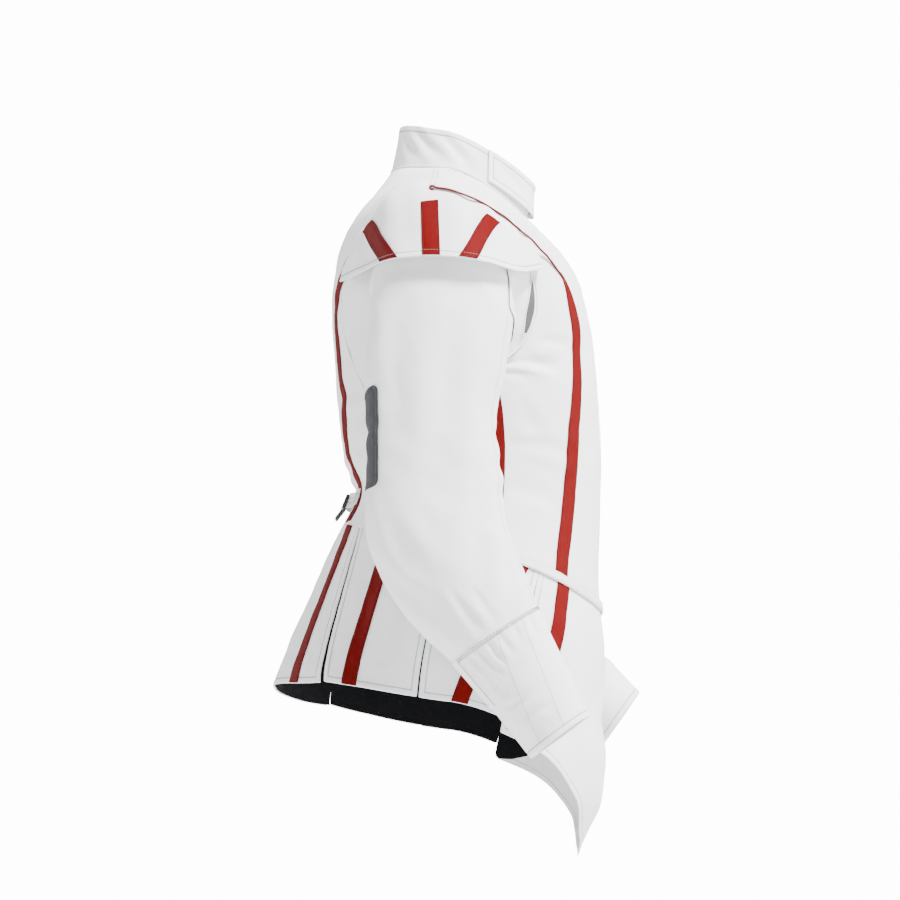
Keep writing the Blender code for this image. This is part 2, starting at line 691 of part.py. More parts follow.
def build_body(parts):
    """Back, fronts, their tapes, waist bands, back strap and front zip."""
    back = back_rows()
    front = front_rows()
    last = len(body_steps()) - 1
    middle_at = sum(BACK_COLUMNS)
    tape_at = middle_at + BACK_COLUMNS[0]
    raised = LAY_GAP + TAPE
    cloth("back", back, CLOTH, WHITE, parts)
    both_sides("front", front, CLOTH, WHITE, parts)
    both_sides("tape_front", lifted(front, (1, last), (4, 5), raised), TAPE, RED, parts)
    both_sides("tape_side", lifted(front, (SHOULDER_ROWS + ZONE_ROWS, last), (1, 2), raised), TAPE, RED, parts)
    both_sides("tape_back", lifted(back, (1, last), (tape_at, tape_at + 1), raised), TAPE, RED, parts)
    both_sides("waist_band", lifted(front, (last - 1, last), (0, sum(FRONT_COLUMNS)), 2 * raised + LAY_GAP), TAPE, WHITE, parts)
    reach = BACK_COLUMNS[0]
    strap = back_strap_rows(back[last - 2:last, middle_at - reach:middle_at + reach + 1])
    cloth("back_strap", strap, TAPE, WHITE, parts)
    inside = -(CLOTH + LINING_GAP)
    edge = lifted(front, (0, last), (sum(FRONT_COLUMNS) - 1, sum(FRONT_COLUMNS)), inside)
    right = edge[:, 1] + (edge[:, 0] - edge[:, 1]) / np.linalg.norm(edge[:, 0] - edge[:, 1], axis=1)[:, None] * ZIP_HALF
    left = right * np.array((-1.0, 1.0, 1.0))
    middle = edge[:, 1] * np.array((0.0, 1.0, 1.0))
    cloth("zip_tape", np.stack([left, middle, right], axis=1)[:, ::-1], TAPE, WHITE, parts)


def build_skirt(parts):
    """Skirt panels, their black linings and their tapes."""
    raised = LAY_GAP + TAPE
    inside = -(CLOTH + LINING_GAP)
    everything = (0, SKIRT_ROWS)
    back = skirt_back_rows()
    across = back.shape[1] - 1
    cloth("skirt_back", back, CLOTH, WHITE, parts)
    tape_at = across // 2 + SKIRT_BACK_COLUMNS[0]
    both_sides("skirt_tape_back", lifted(back, everything, (tape_at, tape_at + 1), raised), TAPE, RED, parts)
    cloth("lining_back", lifted(trimmed(back, LINING_FROM_SIDE, LINING_FROM_HEM), everything, (0, across), inside),
          LINING, BLACK, parts)
    for name in ("skirt_side_back", "skirt_side_front", "skirt_front"):
        panel = skirt_rows(name)
        before = table(SKIRT_PANELS, name)["columns_beside"][0]
        short = name.replace("skirt_", "")
        both_sides(name, panel, CLOTH, WHITE, parts)
        both_sides("skirt_tape_" + short, lifted(panel, everything, (before, before + 1), raised), TAPE, RED, parts)
        inner = lifted(trimmed(panel, LINING_FROM_SIDE, LINING_FROM_HEM), everything, (0, panel.shape[1] - 1), inside)
        both_sides("lining_" + short, inner, LINING, BLACK, parts)


def build_arms(parts):
    """Sleeves, cuffs, elbow patches, gussets, wings and their red strips."""
    low, high = UPPER_SLEEVE_COLUMNS
    upper = sleeve_rows((low, high))
    under = sleeve_rows((high, low + SLEEVE_COLUMNS))
    raised = LAY_GAP + TAPE
    both_arms("sleeve_upper", seam_trimmed(upper, 3 * SEAM_GAP), CLOTH, WHITE, parts)
    both_arms("sleeve_under", seam_trimmed(under, 3 * SEAM_GAP), CLOTH, WHITE, parts)
    patch = lifted(upper, PATCH_ROWS, (PATCH_COLUMNS[0] - low, PATCH_COLUMNS[1] - low), raised)
    both_arms("elbow_patch", patch, TAPE, GREY, parts)
    gusset = lifted(under, GUSSET_ROWS, (GUSSET_COLUMNS[0] - high, GUSSET_COLUMNS[1] - high), raised)
    both_arms("gusset", seam_trimmed(gusset, 2 * SEAM_GAP), TAPE, GREY, parts)
    both_arms("cuff", cuff_rows(), CLOTH, WHITE, parts)
    wing = wing_rows()
    both_sides("wing", wing, CLOTH, WHITE, parts)
    for name, columns in WING_STRIPS.items():
        if name != "columns":
            both_sides("wing_strip_" + name, lifted(wing, (3, WING_ON_BODY + WING_FREE), columns, raised), TAPE, RED, parts)


def front_seat(step, lift):
    """Place and lean of something flat that lies on the middle of the front."""
    down = body_point(180.0, step + 0.05) - body_point(180.0, step - 0.05)
    outward = np.array((0.0, down[2], -down[1])) / np.linalg.norm(down)
    lean = math.degrees(math.atan2(down[1], -down[2]))
    return body_point(180.0, step) + outward * lift, lean


def flap_rows():
    """Grid of the throat flap: sewn flat on the collar at its two sides, standing off it at the foot."""
    turns = np.linspace(FLAP_FROM_DEG, 360.0 - FLAP_FROM_DEG, FLAP_COLUMNS + 1)
    turns = [turn if turn <= 180.0 else turn - 360.0 for turn in turns]
    grid = np.array([[collar_point(turn, share) for turn in turns] for share in FLAP_SHARES])
    down, across = np.meshgrid(np.linspace(0.0, 1.0, len(FLAP_SHARES)), np.linspace(0.0, math.pi, len(turns)),
                               indexing="ij")
    lift = CLOTH + 2 * LAY_GAP + FLAP_STAND_OFF * down**2 * np.sin(across)
    return grid + grid_normals(grid) * lift[:, :, None]


def build_collar(parts):
    """Standing collar and the throat flap over its ends."""
    stand = collar_rows(-COLLAR_END_DEG, COLLAR_END_DEG, 28, (1.0, 0.5, 0.0))
    cloth("collar", stand, COLLAR_CLOTH, WHITE, parts)
    flap = flap_rows()
    cloth("collar_flap", flap, CLOTH, WHITE, parts)


def main():
    for existing in list(bpy.data.objects):
        bpy.data.objects.remove(existing, do_unlink=True)
    parts = bpy.data.collections.new("fencing_jacket")
    cutters = bpy.data.collections.new("cutters")
    for collection in (parts, cutters):
        bpy.context.scene.collection.children.link(collection)
    build_body(parts)
    build_skirt(parts)
    build_arms(parts)
    build_collar(parts)
    plate("back_buckle", BUCKLE_SIZE, BUCKLE_AT, BUCKLE_LEAN_DEG, BUCKLE_SLOT, BLACK, parts, cutters)
    at, lean = front_seat(SLIDER_STEP, SLIDER_STAND_OFF + SLIDER_SIZE[1] / 2)
    plate("zip_slider", SLIDER_SIZE, at, lean, None, GREY, parts, cutters)
    cutters.hide_render = True


if __name__ == "__main__":
    main()
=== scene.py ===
"""Dressed scene of a fencing jacket, filled out as if worn, with no wearer in it.

Metres, +Z up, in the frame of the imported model. The front faces -Y and the wearer's right side is -X. Every cloth
piece is a grid of points read off one of the garment's forms, creased by a table of folds, and closed into a thin
shell with a rolled edge. What is sewn on a panel is read off the same form and raised over it.
"""

from __future__ import annotations

import logging
import math
from dataclasses import dataclass, field
from enum import Enum
from typing import Sequence

import bmesh
import bpy
import numpy as np
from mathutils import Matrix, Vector

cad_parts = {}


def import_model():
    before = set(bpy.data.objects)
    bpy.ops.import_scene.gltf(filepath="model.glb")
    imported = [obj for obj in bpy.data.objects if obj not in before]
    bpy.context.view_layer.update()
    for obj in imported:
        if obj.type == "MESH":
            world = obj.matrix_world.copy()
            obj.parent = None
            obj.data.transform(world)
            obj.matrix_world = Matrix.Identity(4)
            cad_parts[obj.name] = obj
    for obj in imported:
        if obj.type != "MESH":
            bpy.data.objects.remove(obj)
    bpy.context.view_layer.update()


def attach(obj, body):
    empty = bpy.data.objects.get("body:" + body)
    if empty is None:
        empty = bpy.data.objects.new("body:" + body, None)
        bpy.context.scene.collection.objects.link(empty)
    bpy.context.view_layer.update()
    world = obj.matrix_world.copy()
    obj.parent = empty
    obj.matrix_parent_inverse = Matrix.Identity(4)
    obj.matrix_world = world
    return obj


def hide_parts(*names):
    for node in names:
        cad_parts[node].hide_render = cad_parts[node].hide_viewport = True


LOG = logging.getLogger("fencing_jacket")
Points = np.ndarray
MIRROR = np.array((-1.0, 1.0, 1.0))


class Side(Enum):
    """The wearer's right or left half of the jacket."""

    RIGHT = "r"
    LEFT = "l"


class Slot(Enum):
    """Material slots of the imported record."""

    WHITE = "white_cloth"
    RED = "red_tape"
    LINING = "black_lining"
    PATCH = "grey_patch"
    NET = "dark_mesh"
    BUCKLE = "buckle"
    SLIDER = "slider"
    ZIP = "zip_tape"


@dataclass(frozen=True)
class Making:
    """Sizes that every piece of the jacket shares."""

    cloth: float = 0.0020
    collar_cloth: float = 0.0028
    lining: float = 0.0010
    ribbon: float = 0.0007
    ribbon_rise: float = 0.0011
    ribbon_width: float = 0.020
    lining_gap: float = 0.0008
    seam_gap: float = 0.0005
    shoulder_gap: float = 0.0016
    waist_gap: float = 0.0010
    front_gap: float = 0.0022
    spacing: float = 0.0042
    samples: int = 161


MAKING = Making()
# Distances from an edge at which a hemmed grid has its rows: the sixth carries the topstitch.
HEM_STEPS = (0.0, 0.0008, 0.0020, 0.0036, 0.0052, 0.0064, 0.0074, 0.0092, 0.0118)
PLAIN_STEPS = (0.0, 0.0008, 0.0022, 0.0045)
STITCH_ROW = 5


def hermite(low: Points, high: Points, slope_low: Points, slope_high: Points, part: Points) -> Points:
    """Cubic between two values with given slopes.

    Args:
        low: Value at the start.
        high: Value at the end.
        slope_low: Slope at the start.
        slope_high: Slope at the end.
        part: Share of the way, from 0 to 1.

    Returns:
        The value at that share.
    """
    square = part * part
    cube = square * part
    return (
        (2 * cube - 3 * square + 1) * low
        + (cube - 2 * square + part) * slope_low
        + (3 * square - 2 * cube) * high
        + (cube - square) * slope_high
    )


def through(values: Points, at: float | Points) -> Points:
    """Smooth curve through evenly numbered values.

    Args:
        values: One value or point a number.
        at: Places from 0 to the last number.

    Returns:
        The curve at those places.
    """
    values = np.asarray(values, float)
    last = len(values) - 1
    place = np.clip(np.asarray(at, float), 0.0, float(last))
    low = np.minimum(place.astype(int), last - 1)
    part = place - low
    first = np.where(low > 0, 2.0, 1.0)
    second = np.where(low + 1 < last, 2.0, 1.0)
    for _ in range(values.ndim - 1):
        part, first, second = (item[..., None] for item in (part, first, second))
    slope_low = (values[low + 1] - values[np.maximum(low - 1, 0)]) / first
    slope_high = (values[np.minimum(low + 2, last)] - values[low]) / second
    return hermite(values[low], values[low + 1], slope_low, slope_high, part)


def through_each(rings: Points, at: float | Points) -> Points:
    """Smooth curves down a stack of rings, one a column.

    Args:
        rings: Stack of rings, each with one point a column.
        at: Place on the stack, one for all columns or one a column.

    Returns:
        One point a column.
    """
    count = rings.shape[1]
    place = np.clip(np.broadcast_to(np.asarray(at, float), (count,)), 0.0, len(rings) - 1.0)
    last = len(rings) - 1
    low = np.minimum(place.astype(int), last - 1)
    part = (place - low)[:, None]
    column = np.arange(count)
    first = np.where(low > 0, 2.0, 1.0)[:, None]
    second = np.where(low + 1 < last, 2.0, 1.0)[:, None]
    slope_low = (rings[low + 1, column] - rings[np.maximum(low - 1, 0), column]) / first
    slope_high = (rings[np.minimum(low + 2, last), column] - rings[low, column]) / second
    return hermite(rings[low, column], rings[low + 1, column], slope_low, slope_high, part)


def read_down(path: Points, column: int, at: float | Points) -> Points:
    """Reads a table's column against its falling first column, with no kinks.

    Args:
        path: The table.
        column: Which column is read.
        at: Heights to read it at.

    Returns:
        The values there.
    """
    heights = -path[:, 0]
    values = path[:, column]
    slopes = np.gradient(values, heights)
    place = np.clip(-np.asarray(at, float), heights[0], heights[-1])
    low = np.clip(np.searchsorted(heights, place, side="right") - 1, 0, len(heights) - 2)
    gap = heights[low + 1] - heights[low]
    return hermite(values[low], values[low + 1], slopes[low] * gap, slopes[low + 1] * gap, (place - heights[low]) / gap)


def oval(turns: Points, back_y: Points, side_x: Points, side_y: Points, front_y: Points, squareness: float) -> Points:
    """Right half of a squared oval, from the middle of the back round to the middle of the front.

    Args:
        turns: Angles in degrees, 0 at the back and 180 at the front.
        back_y: Reach at the back.
        side_x: Half width.
        side_y: Where the side lies.
        front_y: Reach at the front.
        squareness: 2 for an ellipse, more for a squarer oval.

    Returns:
        The two level coordinates of each point.
    """
    angle = np.radians(turns)
    across = np.abs(np.sin(angle)) ** (2 / squareness)
    along = np.abs(np.cos(angle)) ** (2 / squareness)
    reach = np.where(turns <= 90.0, back_y, front_y) - side_y
    return np.stack([-side_x * across, side_y + reach * along], axis=-1)


def level_round(turns: Points, back_z: float, side_z: float, front_z: float, power: float = 1.3) -> Points:
    """Height round a ring that is not level.

    Args:
        turns: Angles in degrees.
        back_z: Height at the back.
        side_z: Height at the side.
        front_z: Height at the front.
        power: How late the ring leaves the side's height.

    Returns:
        One height an angle.
    """
    share = np.abs(np.cos(np.radians(turns))) ** power
    return side_z + (np.where(turns <= 90.0, back_z, front_z) - side_z) * share


def lengths_of(line: Points) -> Points:
    """Length along a line up to each of its points."""
    return np.concatenate(([0.0], np.cumsum(np.linalg.norm(np.diff(line, axis=0), axis=1))))


def cut_line(line: Points, places: Points) -> Points:
    """Points of a line at the given lengths."""
    lengths = lengths_of(line)
    return np.stack([np.interp(places, lengths, line[:, axis]) for axis in range(3)], axis=1)


def mirrored(grid: Points) -> Points:
    """The same grid on the other half of the body, still facing out."""
    return grid[:, ::-1] * MIRROR


def unit(vectors: Points) -> Points:
    """Vectors brought to length 1."""
    return vectors / np.maximum(np.linalg.norm(vectors, axis=-1, keepdims=True), 1e-12)


def grid_normals(grid: Points) -> Points:
    """Outward direction at each point of a grid."""
    return unit(np.cross(np.gradient(grid, axis=0), np.gradient(grid, axis=1)))


def smooth_step(low: float, high: float, value: Points) -> Points:
    """0 below low, 1 above high and smooth between."""
    share = np.clip((value - low) / (high - low), 0.0, 1.0)
    return share * share * (3 - 2 * share)


def places_along(total: float, count: int, start: Sequence[float], end: Sequence[float]) -> Points:
    """Lengths along a line with close steps at its two ends.

    Args:
        total: Length of the line.
        count: Even steps between the two ends.
        start: Close steps from the start.
        end: Close steps from the end.

    Returns:
        The lengths, the same number whatever the total.
    """
    first = np.array(start)
    last = total - np.array(end)[::-1]
    between = np.linspace(first[-1], last[0], count + 1)[1:-1]
    return np.concatenate([first, between, last])


@dataclass(frozen=True)
class BodyForm:
    """The garment's filled-out body: rings over the shoulders, then levels down to the hem."""

    # Back y and z, side x, y and z, front y and z, squareness: neck, shoulder, shoulder tip, upper chest, chest.
    yoke: tuple = (
        (0.0525, 0.0000, 0.072, -0.020, -0.008, -0.117, -0.062, 2.0),
        (0.0800, -0.0400, 0.138, -0.012, -0.026, -0.136, -0.094, 2.1),
        (0.1120, -0.0900, 0.196, -0.010, -0.052, -0.172, -0.130, 2.3),
        (0.1265, -0.1500, 0.193, -0.022, -0.150, -0.192, -0.182, 2.4),
        (0.1265, -0.2150, 0.182, -0.030, -0.235, -0.201, -0.245, 2.4),
    )
    ribs: tuple = (-0.300, -0.325, -0.345)
    waist_seam: tuple = (-0.4500, -0.5000, -0.5600)
    # Height, back y, front y, side x, side y.
    levels: tuple = (
        (-0.210, 0.1265, -0.1980, 0.184, -0.030),
        (-0.265, 0.1210, -0.2055, 0.177, -0.032),
        (-0.316, 0.1185, -0.2072, 0.170, -0.034),
        (-0.350, 0.1150, -0.2078, 0.165, -0.036),
        (-0.380, 0.1080, -0.2080, 0.160, -0.038),
        (-0.406, 0.0960, -0.2070, 0.157, -0.040),
        (-0.428, 0.1010, -0.2065, 0.157, -0.040),
        (-0.450, 0.1130, -0.2060, 0.160, -0.040),
        (-0.500, 0.1360, -0.2040, 0.171, -0.036),
        (-0.550, 0.1570, -0.2055, 0.183, -0.032),
        (-0.600, 0.1790, -0.2120, 0.194, -0.026),
        (-0.650, 0.1990, -0.2100, 0.205, -0.022),
        (-0.700, 0.2060, -0.2075, 0.212, -0.020),
        (-0.740, 0.2080, -0.2120, 0.215, -0.020),
        (-0.770, 0.2080, -0.2095, 0.214, -0.020),
        (-0.800, 0.2080, -0.2045, 0.210, -0.020),
        (-0.830, 0.2080, -0.1890, 0.200, -0.020),
        (-0.862, 0.2080, -0.1760, 0.190, -0.020),
    )
    squareness: float = 2.4
    armhole_steps: tuple = (2.0, 4.45)
    armhole_sweep: tuple = (39.0, 33.0)
    last_step: float = 6.0
    band_height: float = 0.009

    def strip(self, path: tuple, columns: int = 7) -> Points:
        """Grid of a ribbon laid down the body.

        Args:
            path: Angle, step and width down the ribbon's middle.
            columns: Points across it.

        Returns:
            The grid, facing out.
        """
        turns, steps, widths = through(np.array(path), np.linspace(0.0, len(path) - 1.0, 24 * (len(path) - 1))).T
        middle = self.points(turns, steps)
        aside = unit(np.cross(self.normals(turns, steps), np.gradient(middle, axis=0)))
        round_way = self.points(turns + 0.5, steps) - self.points(turns - 0.5, steps)
        down_way = (self.points(turns, steps + 0.01) - self.points(turns, steps - 0.01)) * 50.0
        ways = np.stack([round_way, down_way], axis=2)
        moves = np.einsum("nij,nj->ni", np.linalg.pinv(ways), aside)
        return np.stack([
            self.points(turns + moves[:, 0] * widths * share, steps + moves[:, 1] * widths * share)
            for share in np.linspace(-0.5, 0.5, columns)
        ], axis=1)

    def at_level(self, turns: Points, heights: Points) -> Points:
        """Points of the body or skirt at given heights.

        Args:
            turns: Angles in degrees.
            heights: One height an angle.

        Returns:
            One point an angle.
        """
        path = np.array(self.levels)
        back_y, front_y, side_x, side_y = (read_down(path, column, heights) for column in (1, 2, 3, 4))
        return np.concatenate([oval(turns, back_y, side_x, side_y, front_y, self.squareness), heights[:, None]], axis=1)

    def points(self, turns: Points, steps: float | Points) -> Points:
        """Points of the body between the neck (step 0) and the waist seam (step 6).

        Args:
            turns: Angles in degrees, below 0 on the left.
            steps: One step for all or one an angle.

        Returns:
            One point an angle.
        """
        turn = np.abs(turns)
        steps = np.broadcast_to(np.asarray(steps, float), turn.shape)
        rings = []
        for back_y, back_z, side_x, side_y, side_z, front_y, front_z, squareness in self.yoke:
            level = level_round(turn, back_z, side_z, front_z)
            rings.append(np.concatenate([oval(turn, back_y, side_x, side_y, front_y, squareness), level[:, None]], axis=1))
        ribs = level_round(turn, *self.ribs)
        seam = level_round(turn, *self.waist_seam)
        rings += [self.at_level(turn, ribs), self.at_level(turn, ribs + (seam - ribs) * 0.25)]
        upper = through_each(np.array(rings), np.minimum(steps, 5.0))
        lower = self.at_level(turn, ribs + (seam - ribs) * np.maximum(steps - 5.0, 0.0))
        found = np.where((steps <= 5.0)[:, None], upper, lower)
        found[:, 0] *= np.where(turns < 0.0, -1.0, 1.0)
        return found

    def normals(self, turns: Points, steps: Points) -> Points:
        """Outward direction of the body at given points."""
        down = self.points(turns, steps + 0.01) - self.points(turns, steps - 0.01)
        across = self.points(turns + 0.5, steps) - self.points(turns - 0.5, steps)
        return unit(np.cross(down, across))

    def armhole(self, turn: Points) -> tuple[Points, Points]:
        """Angle and step of the armhole's edge: 0 is its top, 90 its front, 180 its bottom, -90 its back."""
        angle = np.radians(turn)
        sweep = np.where(np.sin(angle) >= 0, self.armhole_sweep[1], self.armhole_sweep[0])
        top, bottom = self.armhole_steps
        return 90.0 + sweep * np.sin(angle), top + (bottom - top) * (1 - np.cos(angle)) / 2

    def rows(self) -> list[tuple[float, float]]:
        """Rows of a body panel, as the step of each and its turn round the armhole, or -1 off the armhole."""
        top, bottom = self.armhole_steps
        band = self.last_step - self.band_height / 0.185
        rows = [(top * row / 30, -1.0) for row in range(30)]
        rows += [(float(self.armhole(np.array(180.0 * row / 58))[1]), 180.0 * row / 58) for row in range(59)]
        rows += [(bottom + (band - bottom) * row / 46, -1.0) for row in range(1, 47)]
        return rows + [(band + (self.last_step - band) * share, -1.0) for share in (0.25, 0.5, 0.75, 1.0)]

    def row_line(self, step: float, turn: float, front: bool) -> Points:
        """One close-set row of the front or the back, from its side or armhole edge to the middle.

        Args:
            step: The row's step down the body.
            turn: Its turn round the armhole, or -1.
            front: True for the front panel.

        Returns:
            The row's points, drawn in at its side edge by half the seam gap.
        """
        edge = 90.0
        if turn >= 0.0:
            edge = float(self.armhole(np.array(turn if front else -turn))[0])
        gap = MAKING.shoulder_gap if step <= self.armhole_steps[0] else MAKING.seam_gap
        middle = 180.0 if front else 0.0
        line = self.points(np.linspace(edge, middle, MAKING.samples), step)
        total = lengths_of(line)[-1]
        end = total - (MAKING.front_gap if front else 0.0)
        return cut_line(line, np.linspace(gap / 2, end, MAKING.samples))


@dataclass(frozen=True)
class ArmForm:
    """The sleeve and the cuff: rings down the arm, and the further swing of the left forearm."""

    body: BodyForm
    # Middle x, y and z, half width, half depth, lean and forward swing in degrees.
    rings: tuple = (
        (-0.2190, -0.010, -0.1850, 0.0840, 0.1000, 22, 0),
        (-0.2320, -0.009, -0.2300, 0.0870, 0.0800, 36, 0),
        (-0.2400, -0.002, -0.2880, 0.0850, 0.0590, 62, 0),
        (-0.2430, 0.002, -0.3530, 0.0775, 0.0550, 83, 0),
        (-0.2450, -0.001, -0.4300, 0.0810, 0.0550, 90, 4),
        (-0.2480, -0.004, -0.4850, 0.0840, 0.0550, 90, 15),
        (-0.2520, -0.031, -0.5450, 0.0780, 0.0530, 90, 27),
        (-0.2560, -0.072, -0.6085, 0.0610, 0.0470, 90, 34),
    )
    cuff_rings: tuple = (
        (-0.2560, -0.0725, -0.6092, 0.0610, 0.0470, 90, 34),
        (-0.2570, -0.1130, -0.6710, 0.0515, 0.0420, 90, 35),
        (-0.2580, -0.1500, -0.7320, 0.0430, 0.0370, 90, 36),
    )
    hole_inset: float = 0.0006
    left_swing: float = 19.0
    left_elbow: tuple = (-0.004, -0.430)
    left_from: float = -0.360
    left_full: float = -0.520

    def ring(self, row: Sequence[float], turns: Points) -> Points:
        """Points round one ring: 0 is its outer side, 90 its front."""
        lean, swing = math.radians(row[5]), math.radians(row[6])
        forward = np.array((0.0, -math.cos(swing), math.sin(swing))) * row[3]
        upright = np.array((-math.sin(lean), math.cos(lean) * math.sin(swing), math.cos(lean) * math.cos(swing))) * row[4]
        angle = np.radians(turns)[:, None]
        return np.array(row[:3]) + forward * np.sin(angle) + upright * np.cos(angle)

    def mouth(self, turns: Points) -> Points:
        """Points of the sleeve's first ring, just inside the armhole."""
        degrees, steps = self.body.armhole(turns)
        edge = self.body.points(degrees, steps)
        middle = self.body.points(np.full(len(turns), 90.0), float(np.mean(self.body.armhole_steps)))
        return edge + unit(middle - edge) * self.hole_inset

    def sleeve(self, turns: Points, place: float | Points) -> Points:
        """Points round the sleeve at a place from the armhole (0) to the cuff seam (8)."""
        return through_each(np.array([self.mouth(turns)] + [self.ring(row, turns) for row in self.rings]), place)

    def cuff(self, turns: Points, place: float) -> Points:
        """Points round the cuff at a place from its seam (0) to its hem (2)."""
        return through_each(np.array([self.ring(row, turns) for row in self.cuff_rings]), place)

    def left(self, grid: Points) -> Points:
        """The mirrored arm with its forearm swung further forward about the elbow."""
        grid = mirrored(grid)
        swing = math.radians(self.left_swing) * smooth_step(-self.left_from, -self.left_full, -grid[..., 2])
        along = grid[..., 1] - self.left_elbow[0]
        upright = grid[..., 2] - self.left_elbow[1]
        grid = grid.copy()
        grid[..., 1] = self.left_elbow[0] + along * np.cos(swing) + upright * np.sin(swing)
        grid[..., 2] = self.left_elbow[1] - along * np.sin(swing) + upright * np.cos(swing)
        return grid


@dataclass(frozen=True)
class Fold:
    """A soft trough or ridge laid along a line of points on a piece."""

    line: tuple
    half_width: float
    depth: float

    def height(self, points: Points) -> Points:
        """How far the fold moves each point out.

        Args:
            points: Flat list of points.

        Returns:
            Heights, below 0 in the trough, with a low ridge on each side of it.
        """
        line = np.array(self.line, float)
        best = np.full(len(points), 9.0)
        share = np.zeros(len(points))
        count = len(line) - 1
        for index in range(count):
            start, step = line[index], line[index + 1] - line[index]
            place = np.clip(((points - start) @ step) / max(float(step @ step), 1e-12), 0.0, 1.0)
            away = np.linalg.norm(points - start - place[:, None] * step, axis=1)
            nearer = away < best
            best = np.where(nearer, away, best)
            share = np.where(nearer, (index + place) / count, share)
        width = self.half_width * (0.75 + 0.5 * share)
        fade = np.sqrt(np.clip(np.sin(math.pi * np.clip(share, 0.02, 0.98)), 0.0, 1.0))
        trough = np.exp(-((best / width) ** 2))
        ridge = 0.45 * np.exp(-(((best - 1.75 * width) / (0.9 * width)) ** 2))
        return -self.depth * (trough - ridge) * fade


@dataclass(frozen=True)
class Relief:
    """What moves a piece off its plain form: its folds and a slow unevenness that runs on across seams."""

    folds: tuple = ()
    swell: float = 0.0007
    ripple: float = 0.00022
    seed: int = 11

    def heights(self, points: Points) -> Points:
        """How far each point of a grid is moved out."""
        flat = points.reshape(-1, 3)
        chance = np.random.default_rng(self.seed)
        found = np.zeros(len(flat))
        for octave, (wave, size) in enumerate(((0.120, self.swell), (0.052, self.swell * 0.5), (0.024, self.ripple))):
            for _ in range(5):
                way = unit(chance.normal(size=3))
                phase = chance.uniform(0.0, 2 * math.pi)
                bend = np.sin(flat @ unit(chance.normal(size=3)) * 2 * math.pi / (wave * 2.3) + phase * 2)
                found += size / 2.2 * np.sin(flat @ way * 2 * math.pi / wave + phase + 1.3 * bend)
        for fold in self.folds:
            found += fold.height(flat)
        return found.reshape(points.shape[:-1])

    def on(self, grid: Points, rise: float = 0.0) -> Points:
        """The grid moved out by its folds, its unevenness and a plain rise."""
        return grid + grid_normals(grid) * (self.heights(grid) + rise)[..., None]


@dataclass(frozen=True)
class Hems:
    """Which edges of a grid are turned in and topstitched."""

    top: bool = False
    bottom: bool = False
    start: bool = False
    end: bool = False
    proud: float = 0.00045
    groove: float = 0.00035

    def steps(self, hemmed: bool) -> tuple:
        """Close steps at one edge."""
        return HEM_STEPS if hemmed else PLAIN_STEPS

    def turned(self) -> Hems:
        """The same hems on a mirrored grid."""
        return Hems(self.top, self.bottom, self.end, self.start, self.proud, self.groove)

    def near(self, grid: Points) -> Points:
        """Distance from each point of a grid to its nearest hemmed edge, at most 30 mm."""
        down = np.cumsum(np.linalg.norm(np.diff(grid, axis=0, prepend=grid[:1]), axis=2), axis=0)
        across = np.cumsum(np.linalg.norm(np.diff(grid, axis=1, prepend=grid[:, :1]), axis=2), axis=1)
        near = np.full(grid.shape[:2], 0.030)
        for hemmed, far in (
            (self.top, down),
            (self.bottom, down[-1:] - down),
            (self.start, across),
            (self.end, across[:, -1:] - across),
        ):
            if hemmed:
                near = np.minimum(near, far)
        return near

    def on(self, grid: Points) -> Points:
        """The grid with its turned-in edges standing proud up to a stitched groove."""
        near = self.near(grid)
        stitch = HEM_STEPS[STITCH_ROW]
        height = self.proud * (1 - smooth_step(stitch - 0.0012, stitch + 0.0012, near))
        height -= self.groove * np.exp(-(((near - stitch) / 0.0008) ** 2))
        return grid + grid_normals(grid) * height[..., None]


def grid_from(lines: Sequence[Points], hems: Hems, even_down: int, even_across: int) -> Points:
    """Lays a grid on close-set lines, with close steps at every edge.

    Args:
        lines: Rows of points from the top down.
        hems: Which edges are turned in.
        even_down: Even steps down between the close ones.
        even_across: Even steps across between the close ones.

    Returns:
        The grid of points.
    """
    rows = np.array([
        cut_line(line, places_along(lengths_of(line)[-1], even_across, hems.steps(hems.start), hems.steps(hems.end)))
        for line in lines
    ])
    columns = []
    for column in range(rows.shape[1]):
        line = rows[:, column]
        places = places_along(lengths_of(line)[-1], even_down, hems.steps(hems.top), hems.steps(hems.bottom))
        columns.append(cut_line(line, places))
    return np.stack(columns, axis=1)


def band_on(lines: Sequence[Points], middles: Sequence[float], width: float, columns: int = 6) -> Points:
    """Ribbon laid on close-set lines, the same width wherever it crosses them.

    Args:
        lines: Rows of points from the top down.
        middles: Length along each row at which the ribbon's middle crosses it.
        width: The ribbon's width.
        columns: Steps across the ribbon.

    Returns:
        The ribbon's grid on the panel's face.
    """
    centre = np.array([cut_line(line, np.array([middle]))[0] for line, middle in zip(lines, middles)])
    course = unit(np.gradient(centre, axis=0))
    grid = []
    for line, middle, way in zip(lines, middles, course):
        ahead = cut_line(line, np.array([middle - 0.004, middle + 0.004]))
        slant = abs(float(unit(ahead[1] - ahead[0]) @ way))
        half = width / 2 / max(math.sqrt(max(1 - slant * slant, 0.0)), 0.62)
        total = lengths_of(line)[-1]
        grid.append(cut_line(line, np.clip(np.linspace(middle - half, middle + half, columns + 1), 0.0, total)))
    return np.array(grid)


